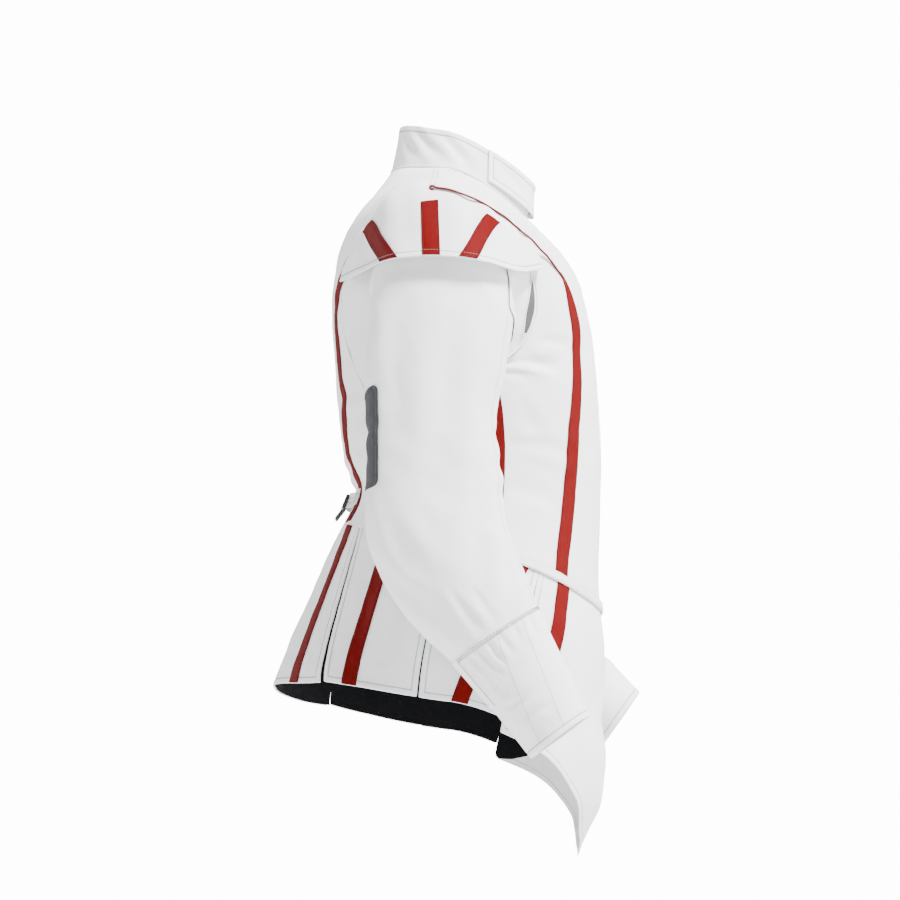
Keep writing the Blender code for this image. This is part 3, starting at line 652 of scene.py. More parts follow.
def shell(grid: Points, thickness: float | Points, closed: bool = False) -> tuple[Points, Points]:
    """Closes a grid into a thin shell with a rolled edge.

    Args:
        grid: Outer face, row by row.
        thickness: How thick the cloth is, inwards.
        closed: True where the last column meets the first.

    Returns:
        Points and four-sided faces of the closed shell.
    """
    rows, columns = grid.shape[:2]
    inner = grid - grid_normals(grid) * thickness
    if closed:
        wrapped = np.concatenate([grid[:, -2:], grid, grid[:, :2]], axis=1)
        inner = grid - grid_normals(wrapped)[:, 2:-2] * thickness
    number = np.arange(rows * columns).reshape(rows, columns)
    across = np.concatenate([number, number[:, :1]], axis=1) if closed else number
    quads = np.stack([across[:-1, :-1], across[1:, :-1], across[1:, 1:], across[:-1, 1:]], axis=-1).reshape(-1, 4)
    faces = [quads, quads[:, ::-1] + rows * columns]
    points = [grid.reshape(-1, 3), inner.reshape(-1, 3)]
    if closed:
        borders = [(number[0], number[1]), (number[-1][::-1], number[-2][::-1])]
    else:
        loop = np.concatenate([number[0, :-1], number[:-1, -1], number[-1, :0:-1], number[:0:-1, 0]])
        inside = np.concatenate([number[1, :-1], number[:-1, -2], number[-2, :0:-1], number[:0:-1, 1]])
        borders = [(loop, inside)]
    flat, under = points[0], points[1]
    base = 2 * rows * columns
    for loop, inside in borders:
        middle = (flat[loop] + under[loop]) / 2
        out = unit(flat[loop] - flat[inside])
        half = np.linalg.norm(flat[loop] - under[loop], axis=1)[:, None]
        rim = middle + out * half * 0.42
        points.append(rim)
        number_rim = base + np.arange(len(loop))
        base += len(loop)
        after = np.roll(np.arange(len(loop)), -1)
        under_loop = loop + rows * columns
        faces.append(np.stack([loop, loop[after], number_rim[after], number_rim], axis=-1))
        faces.append(np.stack([number_rim, number_rim[after], under_loop[after], under_loop], axis=-1))
    return np.concatenate(points), np.concatenate(faces)


def mesh_object(name: str, points: Points, faces: Points | Sequence[Sequence[int]]) -> bpy.types.Object:
    """Adds a smooth-shaded mesh at the origin.

    Args:
        name: Name of the piece.
        points: Its points.
        faces: Its faces.

    Returns:
        The new object.
    """
    mesh = bpy.data.meshes.new(name)
    mesh.from_pydata(np.asarray(points, float).tolist(), [], [list(map(int, face)) for face in faces])
    mesh.polygons.foreach_set("use_smooth", np.ones(len(mesh.polygons), bool))
    mesh.update()
    made = bpy.data.objects.new(name, mesh)
    bpy.context.scene.collection.objects.link(made)
    return made


def cloth_object(name: str, grid: Points, thickness: float | Points, hems: Hems, closed: bool = False) -> bpy.types.Object:
    """Makes a cloth piece, with a UV map in metres and its distance from the stitched edges.

    Args:
        name: Name of the piece.
        grid: Its outer face.
        thickness: How thick it is.
        hems: Which edges are turned in.
        closed: True where the last column meets the first.

    Returns:
        The new object.
    """
    points, faces = shell(grid, thickness, closed)
    made = mesh_object(name, points, faces)
    rows, columns = grid.shape[:2]
    across = np.cumsum(np.linalg.norm(np.diff(grid, axis=1, prepend=grid[:, :1]), axis=2), axis=1)
    across = across - across[:, columns // 2][:, None]
    down = np.cumsum(np.linalg.norm(np.diff(grid, axis=0, prepend=grid[:1]), axis=2), axis=0)
    flat = np.stack([across, -down], axis=-1).reshape(-1, 2)
    near = hems.near(grid).reshape(-1)
    count = rows * columns
    spare = len(points) - 2 * count
    rim = np.arange(spare) % count
    place = np.concatenate([flat, flat, flat[rim]])
    edge = np.concatenate([near, near, np.zeros(spare)])
    loops = np.empty(len(made.data.loops), np.int32)
    made.data.loops.foreach_get("vertex_index", loops)
    layer = made.data.uv_layers.new(name="Cloth")
    layer.data.foreach_set("uv", place[loops].astype(np.float32).reshape(-1))
    made.data.attributes.new("edge", "FLOAT", "POINT").data.foreach_set("value", edge.astype(np.float32))
    return made


def dressed(
    made: bpy.types.Object,
    finish: bpy.types.Material,
    nodes: Sequence[str] = (),
) -> bpy.types.Object:
    """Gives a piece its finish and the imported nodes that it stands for, and logs it.

    Args:
        made: The piece.
        finish: Its material.
        nodes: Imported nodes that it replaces.

    Returns:
        The same piece.
    """
    made.data.materials.clear()
    made.data.materials.append(finish)
    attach(made, "root")
    if nodes:
        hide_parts(*nodes)
    LOG.info("%s: %d faces, for %s", made.name, len(made.data.polygons), ", ".join(nodes) or "detail")
    return made


class NodeSheet:
    """Short ways to add and join the nodes of one tree."""

    def __init__(self, tree: bpy.types.NodeTree) -> None:
        """Keeps the tree that the nodes go into."""
        self.tree = tree

    def add(self, kind: str, **settings: object) -> bpy.types.Node:
        """Adds a node and sets its properties."""
        node = self.tree.nodes.new(kind)
        for key, value in settings.items():
            setattr(node, key, value)
        return node

    def feed(self, socket: bpy.types.NodeSocket, value: object) -> None:
        """Joins a socket to another one, or sets it to a value."""
        if isinstance(value, bpy.types.NodeSocket):
            self.tree.links.new(value, socket)
        elif value is not None:
            socket.default_value = value

    def math(self, operation: str, *values: object) -> bpy.types.NodeSocket:
        """One sum on sockets or numbers."""
        node = self.add("ShaderNodeMath", operation=operation)
        for socket, value in zip(node.inputs, values):
            self.feed(socket, value)
        return node.outputs[0]

    def ramp(self, value: object, low: float, high: float, start: float = 0.0, end: float = 1.0) -> bpy.types.NodeSocket:
        """Smooth change from start to end as a value goes from low to high."""
        node = self.add("ShaderNodeMapRange", interpolation_type="SMOOTHSTEP")
        for name, item in (("Value", value), ("From Min", low), ("From Max", high), ("To Min", start), ("To Max", end)):
            self.feed(node.inputs[name], item)
        return node.outputs["Result"]

    def noise(self, vector: object, scale: float, detail: float = 2.0) -> bpy.types.NodeSocket:
        """Noise from 0 to 1."""
        node = self.add("ShaderNodeTexNoise")
        self.feed(node.inputs["Vector"], vector)
        node.inputs["Scale"].default_value = scale
        node.inputs["Detail"].default_value = detail
        return node.outputs[0]

    def mix(self, share: object, first: object, second: object) -> bpy.types.NodeSocket:
        """Colour between two colours."""
        node = self.add("ShaderNodeMix", data_type="RGBA")
        self.feed(node.inputs[0], share)
        self.feed(node.inputs[6], first)
        self.feed(node.inputs[7], second)
        return node.outputs[2]

    def group(self, tree: bpy.types.NodeTree, **values: object) -> bpy.types.Node:
        """Places a node group with its own values."""
        node = self.add("ShaderNodeGroup", node_tree=tree)
        for key, value in values.items():
            self.feed(node.inputs[key.replace("_", " ")], value)
        return node


def new_group(name: str, inputs: Sequence[tuple[str, str, float]], outputs: Sequence[str]) -> tuple[NodeSheet, dict]:
    """Starts a shader node group.

    Args:
        name: Name of the group.
        inputs: Name, kind and first value of each input.
        outputs: Names of the outputs, all of them numbers.

    Returns:
        The group's sheet and its input sockets by name, with its output node under "out".
    """
    tree = bpy.data.node_groups.new(name, "ShaderNodeTree")
    for label, kind, first in inputs:
        socket = tree.interface.new_socket(label, in_out="INPUT", socket_type=kind)
        if kind == "NodeSocketFloat":
            socket.default_value = first
    for label in outputs:
        tree.interface.new_socket(label, in_out="OUTPUT", socket_type="NodeSocketFloat")
    sheet = NodeSheet(tree)
    start = sheet.add("NodeGroupInput")
    found = {label: start.outputs[label] for label, _, _ in inputs}
    found["out"] = sheet.add("NodeGroupOutput")
    return sheet, found


class Effects:
    """The shader groups that several finishes share, each built once."""

    def __init__(self) -> None:
        """Builds the groups."""
        self.weave = self.build_weave()
        self.variation = self.build_variation()
        self.stitched = self.build_stitched()

    def build_weave(self) -> bpy.types.NodeTree:
        """Threads passing over and under each other, with uneven thread by thread tone."""
        sheet, get = new_group(
            "Threads over and under",
            (("Vector", "NodeSocketVector", 0.0), ("Warp Pitch", "NodeSocketFloat", 0.0006),
             ("Weft Pitch", "NodeSocketFloat", 0.0006), ("Twill", "NodeSocketFloat", 0.0)),
            ("Height", "Tone"),
        )
        parts = sheet.add("ShaderNodeSeparateXYZ")
        sheet.feed(parts.inputs[0], get["Vector"])
        warp = sheet.math("DIVIDE", parts.outputs[0], get["Warp Pitch"])
        weft = sheet.math("DIVIDE", parts.outputs[1], get["Weft Pitch"])
        step = sheet.math("ADD", sheet.math("FLOOR", warp), sheet.math("FLOOR", weft))
        plain = sheet.math("FLOORED_MODULO", step, 2.0)
        twill = sheet.math("GREATER_THAN", sheet.math("FLOORED_MODULO", step, 3.0), 1.5)
        over = sheet.math("ADD", sheet.math("MULTIPLY", twill, get["Twill"]),
                          sheet.math("MULTIPLY", plain, sheet.math("SUBTRACT", 1.0, get["Twill"])))
        rounded = [sheet.math("SINE", sheet.math("MULTIPLY", sheet.math("FRACT", way), math.pi)) for way in (warp, weft)]
        first = sheet.math("MULTIPLY", rounded[0], over)
        second = sheet.math("MULTIPLY", rounded[1], sheet.math("SUBTRACT", 1.0, over))
        place = sheet.add("ShaderNodeCombineXYZ")
        sheet.feed(place.inputs[0], sheet.math("FLOOR", warp))
        sheet.feed(place.inputs[1], sheet.math("FLOOR", weft))
        chance = sheet.add("ShaderNodeTexWhiteNoise", noise_dimensions="2D")
        sheet.feed(chance.inputs["Vector"], place.outputs[0])
        sheet.feed(get["out"].inputs["Height"], sheet.math("ADD", first, second))
        sheet.feed(get["out"].inputs["Tone"], chance.outputs["Value"])
        return sheet.tree

    def build_variation(self) -> bpy.types.NodeTree:
        """Slow change of tone over a piece and the soft cockle of a stiff padded cloth."""
        sheet, get = new_group(
            "Slow change over cloth",
            (("Vector", "NodeSocketVector", 0.0), ("Amount", "NodeSocketFloat", 0.05)),
            ("Tone", "Cockle"),
        )
        broad = sheet.noise(get["Vector"], 7.0, 3.0)
        fine = sheet.noise(get["Vector"], 46.0, 4.0)
        both = sheet.math("ADD", sheet.math("MULTIPLY", broad, 0.65), sheet.math("MULTIPLY", fine, 0.35))
        moved = sheet.math("MULTIPLY", sheet.math("SUBTRACT", both, 0.5), get["Amount"])
        sheet.feed(get["out"].inputs["Tone"], sheet.math("ADD", moved, 1.0))
        sheet.feed(get["out"].inputs["Cockle"], sheet.noise(get["Vector"], 88.0, 2.0))
        return sheet.tree

    def build_stitched(self) -> bpy.types.NodeTree:
        """Pucker, painted shade along the stitched groove, and wear that follow a stitched edge."""
        sheet, get = new_group(
            "Pucker, painted shade and wear by an edge",
            (("Vector", "NodeSocketVector", 0.0), ("Edge", "NodeSocketFloat", 0.03), ("Reach", "NodeSocketFloat", 0.016)),
            ("Pucker", "Shade", "Wear"),
        )
        near = sheet.ramp(get["Edge"], 0.0, get["Reach"], 1.0, 0.0)
        waves = sheet.noise(get["Vector"], 150.0, 1.0)
        patches = sheet.noise(get["Vector"], 34.0, 3.0)
        # A patchy line darker at the topstitch row: painted shade of its groove and stitches.
        line = sheet.ramp(sheet.math("ABSOLUTE", sheet.math("SUBTRACT", get["Edge"], 0.0064)), 0.0, 0.0016, 1.0, 0.0)
        rim = sheet.ramp(get["Edge"], 0.0, 0.0014, 1.0, 0.0)
        sheet.feed(get["out"].inputs["Pucker"], sheet.math("MULTIPLY", near, waves))
        sheet.feed(get["out"].inputs["Shade"], sheet.math("MULTIPLY", line, sheet.math("ADD", 0.5, patches)))
        sheet.feed(get["out"].inputs["Wear"], sheet.math("MULTIPLY", rim, sheet.ramp(patches, 0.35, 0.7)))
        return sheet.tree


def plain_material(name: str) -> tuple[bpy.types.Material, NodeSheet, bpy.types.Node]:
    """Starts a material and returns it with its sheet and its shader."""
    made = bpy.data.materials.new(name)
    made.use_nodes = True
    return made, NodeSheet(made.node_tree), made.node_tree.nodes["Principled BSDF"]


@dataclass(frozen=True)
class ClothFinish:
    """A woven cloth, read along the piece's own UV map in metres."""

    name: str
    color: tuple
    deep: tuple
    roughness: float = 0.82
    pitch: tuple = (0.00062, 0.00062)
    twill: float = 0.0
    thread_relief: float = 0.00010
    cockle: float = 0.00030
    pucker: float = 0.0009
    variation: float = 0.06
    tone: float = 0.05
    sheen: float = 0.10
    gloss: float = 0.20
    shade: float = 0.9
    wear: float = 0.20

    def make(self, effects: Effects) -> bpy.types.Material:
        """Builds the material.

        Args:
            effects: The shared shader groups.

        Returns:
            The material.
        """
        made, sheet, shader = plain_material(self.name)
        across = sheet.add("ShaderNodeUVMap", uv_map="Cloth").outputs["UV"]
        where = sheet.add("ShaderNodeTexCoord").outputs["Object"]
        edge = sheet.add("ShaderNodeAttribute", attribute_name="edge").outputs["Fac"]
        weave = sheet.group(effects.weave, Vector=across, Warp_Pitch=self.pitch[0], Weft_Pitch=self.pitch[1], Twill=self.twill)
        slow = sheet.group(effects.variation, Vector=where, Amount=self.variation)
        sewn = sheet.group(effects.stitched, Vector=where, Edge=edge)
        thread = sheet.math("MULTIPLY", sheet.math("SUBTRACT", weave.outputs["Tone"], 0.5), self.tone)
        # Darker where the threads dip under: painted shade in the weave's hollows.
        low = sheet.math("MULTIPLY", sheet.math("SUBTRACT", 1.0, weave.outputs["Height"]), 0.5)
        # The stitched groove is darkened by shade: painted shade.
        dark = sheet.math("ADD", sheet.math("MULTIPLY", low, 0.35), sheet.math("MULTIPLY", sewn.outputs["Shade"], self.shade))
        dark = sheet.math("ADD", dark, thread)
        dark = sheet.math("ADD", dark, sheet.math("SUBTRACT", 1.0, slow.outputs["Tone"]))
        dark = sheet.math("MAXIMUM", sheet.math("MINIMUM", dark, 1.0), 0.0)
        base = sheet.mix(dark, (*self.color, 1.0), (*self.deep, 1.0))
        worn = sheet.mix(sheet.math("MULTIPLY", sewn.outputs["Wear"], self.wear), base,
                         (*[0.5 * (c + d) for c, d in zip(self.color, self.deep)], 1.0))
        sheet.feed(shader.inputs["Base Color"], worn)
        rough = sheet.math("ADD", self.roughness - 0.06, sheet.math("MULTIPLY", slow.outputs["Cockle"], 0.12))
        sheet.feed(shader.inputs["Roughness"], rough)
        height = sheet.math("MULTIPLY", weave.outputs["Height"], self.thread_relief)
        height = sheet.math("ADD", height, sheet.math("MULTIPLY", slow.outputs["Cockle"], self.cockle))
        height = sheet.math("ADD", height, sheet.math("MULTIPLY", sewn.outputs["Pucker"], self.pucker))
        bump = sheet.add("ShaderNodeBump")
        bump.inputs["Distance"].default_value = 1.0
        bump.inputs["Strength"].default_value = 0.85
        sheet.feed(bump.inputs["Height"], height)
        sheet.feed(shader.inputs["Normal"], bump.outputs["Normal"])
        shader.inputs["Sheen Weight"].default_value = self.sheen
        shader.inputs["Sheen Roughness"].default_value = 0.45
        shader.inputs["Specular IOR Level"].default_value = self.gloss
        return made


@dataclass(frozen=True)
class RibbonFinish:
    """A ribbed woven ribbon with firm side edges and a dented sewing line inside each; its weave's hollows and the
    dents are painted darker as shade.
    """

    name: str
    color: tuple = (0.115, 0.0012, 0.0009)
    deep: tuple = (0.048, 0.0004, 0.0006)
    half_width: float = 0.010
    rib: float = 0.0011
    sewn_in: float = 0.0016

    def make(self, effects: Effects) -> bpy.types.Material:
        """Builds the material.

        Args:
            effects: The shared shader groups.

        Returns:
            The material.
        """
        made, sheet, shader = plain_material(self.name)
        flat = sheet.add("ShaderNodeUVMap", uv_map="Cloth").outputs["UV"]
        where = sheet.add("ShaderNodeTexCoord").outputs["Object"]
        parts = sheet.add("ShaderNodeSeparateXYZ")
        sheet.feed(parts.inputs[0], flat)
        aside = sheet.math("ABSOLUTE", parts.outputs[0])
        ribs = sheet.math("SINE", sheet.math("MULTIPLY", parts.outputs[1], 2 * math.pi / self.rib))
        weave = sheet.group(effects.weave, Vector=flat, Warp_Pitch=0.0004, Weft_Pitch=self.rib / 2, Twill=0.0)
        slow = sheet.group(effects.variation, Vector=where, Amount=0.16)
        line = self.half_width - self.sewn_in
        dent = sheet.ramp(sheet.math("ABSOLUTE", sheet.math("SUBTRACT", aside, line)), 0.0, 0.0007, 1.0, 0.0)
        darker_edges = sheet.ramp(aside, self.half_width - 0.0010, self.half_width - 0.0003)
        # Darker where the threads dip under and along the dented sewing lines: painted shade in the hollows.
        dark = sheet.math("MULTIPLY", sheet.math("SUBTRACT", 1.0, weave.outputs["Height"]), 0.32)
        dark = sheet.math("ADD", dark, sheet.math("MULTIPLY", dent, 0.40))
        # Darker within a millimetre of each long edge.
        dark = sheet.math("ADD", dark, sheet.math("MULTIPLY", darker_edges, 0.25))
        dark = sheet.math("ADD", dark, sheet.math("SUBTRACT", 1.0, slow.outputs["Tone"]))
        dark = sheet.math("MAXIMUM", sheet.math("MINIMUM", dark, 1.0), 0.0)
        sheet.feed(shader.inputs["Base Color"], sheet.mix(dark, (*self.color, 1.0), (*self.deep, 1.0)))
        sheet.feed(shader.inputs["Roughness"], sheet.math("ADD", 0.52, sheet.math("MULTIPLY", dark, 0.25)))
        height = sheet.math("MULTIPLY", ribs, 0.00006)
        height = sheet.math("ADD", height, sheet.math("MULTIPLY", weave.outputs["Height"], 0.00006))
        height = sheet.math("SUBTRACT", height, sheet.math("MULTIPLY", dent, 0.00022))
        height = sheet.math("ADD", height, sheet.math("MULTIPLY", slow.outputs["Cockle"], 0.00025))
        bump = sheet.add("ShaderNodeBump")
        bump.inputs["Distance"].default_value = 1.0
        sheet.feed(bump.inputs["Height"], height)
        sheet.feed(shader.inputs["Normal"], bump.outputs["Normal"])
        shader.inputs["Specular IOR Level"].default_value = 0.06
        return made


@dataclass(frozen=True)
class NetFinish:
    """Knitted net: round holes in rows, painted near black as the shade of the hollow behind them."""

    name: str
    color: tuple = (0.070, 0.074, 0.080)
    hole: tuple = (0.006, 0.006, 0.007)
    pitch: float = 0.0026

    def make(self, effects: Effects) -> bpy.types.Material:
        """Builds the material.

        Args:
            effects: The shared shader groups.

        Returns:
            The material.
        """
        made, sheet, shader = plain_material(self.name)
        flat = sheet.add("ShaderNodeUVMap", uv_map="Cloth").outputs["UV"]
        cells = sheet.add("ShaderNodeTexVoronoi")
        sheet.feed(cells.inputs["Vector"], flat)
        cells.inputs["Scale"].default_value = 1.0 / self.pitch
        cells.inputs["Randomness"].default_value = 0.12
        hole = sheet.ramp(cells.outputs["Distance"], 0.24, 0.34, 1.0, 0.0)
        slow = sheet.group(effects.variation, Vector=flat, Amount=0.2)
        knit = sheet.mix(sheet.math("SUBTRACT", 1.0, slow.outputs["Tone"]), (*self.color, 1.0), (*self.hole, 1.0))
        # The holes are painted near black: painted shade of the hollow behind the net.
        sheet.feed(shader.inputs["Base Color"], sheet.mix(hole, knit, (*self.hole, 1.0)))
        bump = sheet.add("ShaderNodeBump")
        bump.inputs["Distance"].default_value = 1.0
        sheet.feed(bump.inputs["Height"], sheet.math("MULTIPLY", hole, -0.0004))
        sheet.feed(shader.inputs["Normal"], bump.outputs["Normal"])
        sheet.feed(shader.inputs["Roughness"], sheet.math("ADD", 0.75, sheet.math("MULTIPLY", hole, 0.2)))
        return made


@dataclass(frozen=True)
class HardFinish:
    """Moulded plastic, metal or thread, read on object coordinates."""

    name: str
    color: tuple
    roughness: float = 0.45
    metallic: float = 0.0
    grain: float = 900.0
    relief: float = 0.00003
    scuff: float = 0.5

    def make(self, effects: Effects) -> bpy.types.Material:
        """Builds the material.

        Args:
            effects: The shared shader groups.

        Returns:
            The material.
        """
        made, sheet, shader = plain_material(self.name)
        where = sheet.add("ShaderNodeTexCoord").outputs["Object"]
        slow = sheet.group(effects.variation, Vector=where, Amount=0.25)
        grain = sheet.noise(where, self.grain, 2.0)
        scuffs = sheet.ramp(sheet.noise(where, 260.0, 5.0), 0.55, 0.72)
        lighter = tuple(min(1.0, c * 1.7 + 0.015) for c in self.color)
        share = sheet.math("MULTIPLY", sheet.math("MULTIPLY", scuffs, self.scuff), slow.outputs["Tone"])
        sheet.feed(shader.inputs["Base Color"], sheet.mix(share, (*self.color, 1.0), (*lighter, 1.0)))
        sheet.feed(shader.inputs["Roughness"], sheet.math("ADD", self.roughness, sheet.math("MULTIPLY", scuffs, 0.18)))
        shader.inputs["Metallic"].default_value = self.metallic
        bump = sheet.add("ShaderNodeBump")
        bump.inputs["Distance"].default_value = 1.0
        sheet.feed(bump.inputs["Height"], sheet.math("MULTIPLY", grain, self.relief))
        sheet.feed(shader.inputs["Normal"], bump.outputs["Normal"])
        return made


class Finishes:
    """Every material of the jacket, by use."""

    def __init__(self) -> None:
        """Builds them all."""
        effects = Effects()
        # deep is the colour that painted shade and random thread tone darken the cloth towards.
        white, deep = (0.860, 0.865, 0.880), (0.470, 0.480, 0.510)
        self.white = ClothFinish("White jacket cloth", white, deep).make(effects)
        self.collar = ClothFinish("White collar cloth", (0.88, 0.885, 0.90), deep, pitch=(0.0007, 0.0005),
                                  cockle=0.00022, roughness=0.86).make(effects)
        self.band = ClothFinish("White binding", white, deep, pitch=(0.0005, 0.0009), sheen=0.1).make(effects)
        self.strap = ClothFinish("White webbing", white, deep, pitch=(0.0013, 0.0008), thread_relief=0.0003).make(effects)
        self.lining = ClothFinish("Black lining", (0.0045, 0.0045, 0.0055), (0.0015, 0.0015, 0.0020), roughness=0.8,
                                  pitch=(0.0005, 0.0005), twill=1.0, sheen=0.0, gloss=0.05, wear=0.3).make(effects)
        self.patch = ClothFinish("Grey elbow cloth", (0.040, 0.042, 0.047), (0.016, 0.017, 0.020), roughness=0.9,
                                 pitch=(0.0012, 0.0012), twill=1.0, thread_relief=0.00025, variation=0.35,
                                 sheen=0.1, gloss=0.1, wear=0.7).make(effects)
        self.net = NetFinish("Dark knitted net").make(effects)
        self.ribbon = RibbonFinish("Red ribbon").make(effects)
        # The white thread is painted dark grey: painted shade of the stitch holes around it.
        self.thread = HardFinish("White sewing thread painted grey as stitch shade", (0.22, 0.225, 0.24), 0.7, grain=2600.0, scuff=0.2).make(effects)
        self.red_thread = HardFinish("Red sewing thread", (0.08, 0.001, 0.001), 0.7, grain=2600.0).make(effects)
        self.red_cord = HardFinish("Red piping", (0.10, 0.001, 0.001), 0.8, scuff=0.0).make(effects)
        self.grey_thread = HardFinish("Grey sewing thread", (0.09, 0.095, 0.10), 0.7, grain=2600.0).make(effects)
        self.buckle = HardFinish("Black moulded plastic", (0.010, 0.010, 0.011), 0.38).make(effects)
        self.steel = HardFinish("Satin steel", (0.52, 0.52, 0.54), 0.32, 1.0, 1400.0, scuff=0.3).make(effects)
        self.coil = HardFinish("White moulded coil", (0.72, 0.72, 0.74), 0.4, scuff=0.1).make(effects)


class Trees:
    """Geometry node trees for what follows a sewn line: stitches, piping and zip coil."""

    def __init__(self) -> None:
        """Builds the trees."""
        self.stitches = self.build_stitches()
        self.piping = self.build_piping()
        self.coil = self.build_coil()

    @staticmethod
    def start(name: str, sizes: Sequence[tuple[str, float]]) -> tuple[NodeSheet, dict, bpy.types.NodeSocket]:
        """Starts a tree that turns its mesh lines into curves.

        Args:
            name: Name of the tree.
            sizes: Name and first value of each number input.

        Returns:
            The sheet, its sockets by name and the curves.
        """
        tree = bpy.data.node_groups.new(name, "GeometryNodeTree")
        tree.interface.new_socket("Lines", in_out="INPUT", socket_type="NodeSocketGeometry")
        for label, first in sizes:
            socket = tree.interface.new_socket(label, in_out="INPUT", socket_type="NodeSocketFloat")
            socket.default_value = first
        tree.interface.new_socket("Finish", in_out="INPUT", socket_type="NodeSocketMaterial")
        tree.interface.new_socket("Piece", in_out="OUTPUT", socket_type="NodeSocketGeometry")
        sheet = NodeSheet(tree)
        get = {socket.name: socket for socket in sheet.add("NodeGroupInput").outputs if socket.name}
        curve = sheet.add("GeometryNodeMeshToCurve")
        sheet.feed(curve.inputs["Mesh"], get["Lines"])
        return sheet, get, curve.outputs["Curve"]

    @staticmethod
    def end(sheet: NodeSheet, get: dict, piece: bpy.types.NodeSocket) -> bpy.types.NodeTree:
        """Closes a tree: real geometry, smooth shading and its finish."""
        real = sheet.add("GeometryNodeRealizeInstances")
        sheet.feed(real.inputs[0], piece)
        smooth = sheet.add("GeometryNodeSetShadeSmooth")
        sheet.feed(smooth.inputs["Geometry"], real.outputs[0])
        finish = sheet.add("GeometryNodeSetMaterial")
        sheet.feed(finish.inputs["Geometry"], smooth.outputs[0])
        sheet.feed(finish.inputs["Material"], get["Finish"])
        sheet.feed(sheet.add("NodeGroupOutput").inputs["Piece"], finish.outputs[0])
        return sheet.tree

    def along(self, sheet: NodeSheet, curve: bpy.types.NodeSocket, pitch: bpy.types.NodeSocket,
              item: bpy.types.NodeSocket, scale: bpy.types.NodeSocket) -> bpy.types.NodeSocket:
        """Copies of an item at even steps along curves, turned to follow them.

        Args:
            sheet: The tree's sheet.
            curve: The curves.
            pitch: Step between copies.
            item: What is copied.
            scale: Its size along each of its axes.

        Returns:
            The copies.
        """
        points = sheet.add("GeometryNodeCurveToPoints", mode="LENGTH")
        sheet.feed(points.inputs["Curve"], curve)
        sheet.feed(points.inputs["Length"], pitch)
        turn = sheet.add("FunctionNodeAlignRotationToVector", axis="Z")
        sheet.feed(turn.inputs["Vector"], points.outputs["Tangent"])
        copies = sheet.add("GeometryNodeInstanceOnPoints")
        sheet.feed(copies.inputs["Points"], points.outputs["Points"])
        sheet.feed(copies.inputs["Instance"], item)
        sheet.feed(copies.inputs["Rotation"], turn.outputs["Rotation"])
        sheet.feed(copies.inputs["Scale"], scale)
        return copies.outputs["Instances"]

    def build_stitches(self) -> bpy.types.NodeTree:
        """A run of sewn stitches: one small rounded thread a step."""
        sheet, get, curve = self.start("Run of stitches", (("Pitch", 0.003), ("Length", 0.0022), ("Thickness", 0.0005)))
        thread = sheet.add("GeometryNodeMeshUVSphere")
        thread.inputs["Segments"].default_value = 5
        thread.inputs["Rings"].default_value = 3
        thread.inputs["Radius"].default_value = 0.5
        size = sheet.add("ShaderNodeCombineXYZ")
        for socket, value in zip(size.inputs, (get["Thickness"], get["Thickness"], get["Length"])):
            sheet.feed(socket, value)
        return self.end(sheet, get, self.along(sheet, curve, get["Pitch"], thread.outputs["Mesh"], size.outputs[0]))

    def build_piping(self) -> bpy.types.NodeTree:
        """A round cord that follows the lines, closed at its ends."""
        sheet, get, curve = self.start("Piping", (("Radius", 0.001),))
        ring = sheet.add("GeometryNodeCurvePrimitiveCircle", mode="RADIUS")
        ring.inputs["Resolution"].default_value = 10
        sheet.feed(ring.inputs["Radius"], get["Radius"])
        tube = sheet.add("GeometryNodeCurveToMesh")
        sheet.feed(tube.inputs["Curve"], curve)
        sheet.feed(tube.inputs["Profile Curve"], ring.outputs["Curve"])
        tube.inputs["Fill Caps"].default_value = True
        return self.end(sheet, get, tube.outputs["Mesh"])

    def build_coil(self) -> bpy.types.NodeTree:
        """Zip coil: a flattened loop across the line at each step."""
        sheet, get, curve = self.start("Zip coil", (("Pitch", 0.0016), ("Width", 0.0056), ("Height", 0.0016)))
        loop = sheet.add("GeometryNodeMeshUVSphere")
        loop.inputs["Segments"].default_value = 8
        loop.inputs["Rings"].default_value = 5
        loop.inputs["Radius"].default_value = 0.5
        size = sheet.add("ShaderNodeCombineXYZ")
        thin = sheet.math("MULTIPLY", get["Pitch"], 0.78)
        for socket, value in zip(size.inputs, (get["Width"], get["Height"], thin)):
            sheet.feed(socket, value)
        return self.end(sheet, get, self.along(sheet, curve, get["Pitch"], loop.outputs["Mesh"], size.outputs[0]))


def from_lines(
    name: str,
    lines: Sequence[Points],
    tree: bpy.types.NodeTree,
    finish: bpy.types.Material,
    slot: Slot,
    **sizes: float,
) -> bpy.types.Object | None:
    """Runs a tree on lines of points and keeps the result as a plain mesh.

    Args:
        name: Name of the piece.
        lines: Lines of points.
        tree: The geometry node tree.
        finish: The piece's material.
        slot: Not used.
        **sizes: The tree's number inputs, with _ for a space.

    Returns:
        The piece.
    """
    points = np.concatenate(lines)
    edges = []
    base = 0
    for line in lines:
        edges += [(base + at, base + at + 1) for at in range(len(line) - 1)]
        base += len(line)
    mesh = bpy.data.meshes.new(name + "_lines")
    mesh.from_pydata(points.tolist(), edges, [])
    guide = bpy.data.objects.new(name + "_lines", mesh)
    bpy.context.scene.collection.objects.link(guide)
    modifier = guide.modifiers.new("follow", "NODES")
    modifier.node_group = tree
    values = {key.replace("_", " "): value for key, value in sizes.items()}
    values["Finish"] = finish
    for item in tree.interface.items_tree:
        if item.item_type == "SOCKET" and item.in_out == "INPUT" and item.name in values:
            modifier[item.identifier] = values[item.name]
    graph = bpy.context.evaluated_depsgraph_get()
    plain = bpy.data.meshes.new_from_object(guide.evaluated_get(graph), depsgraph=graph)
    guide.modifiers.remove(modifier)
    bpy.data.objects.remove(guide)
    made = bpy.data.objects.new(name, plain)
    plain.name = name
    bpy.context.scene.collection.objects.link(made)
    return dressed(made, finish)


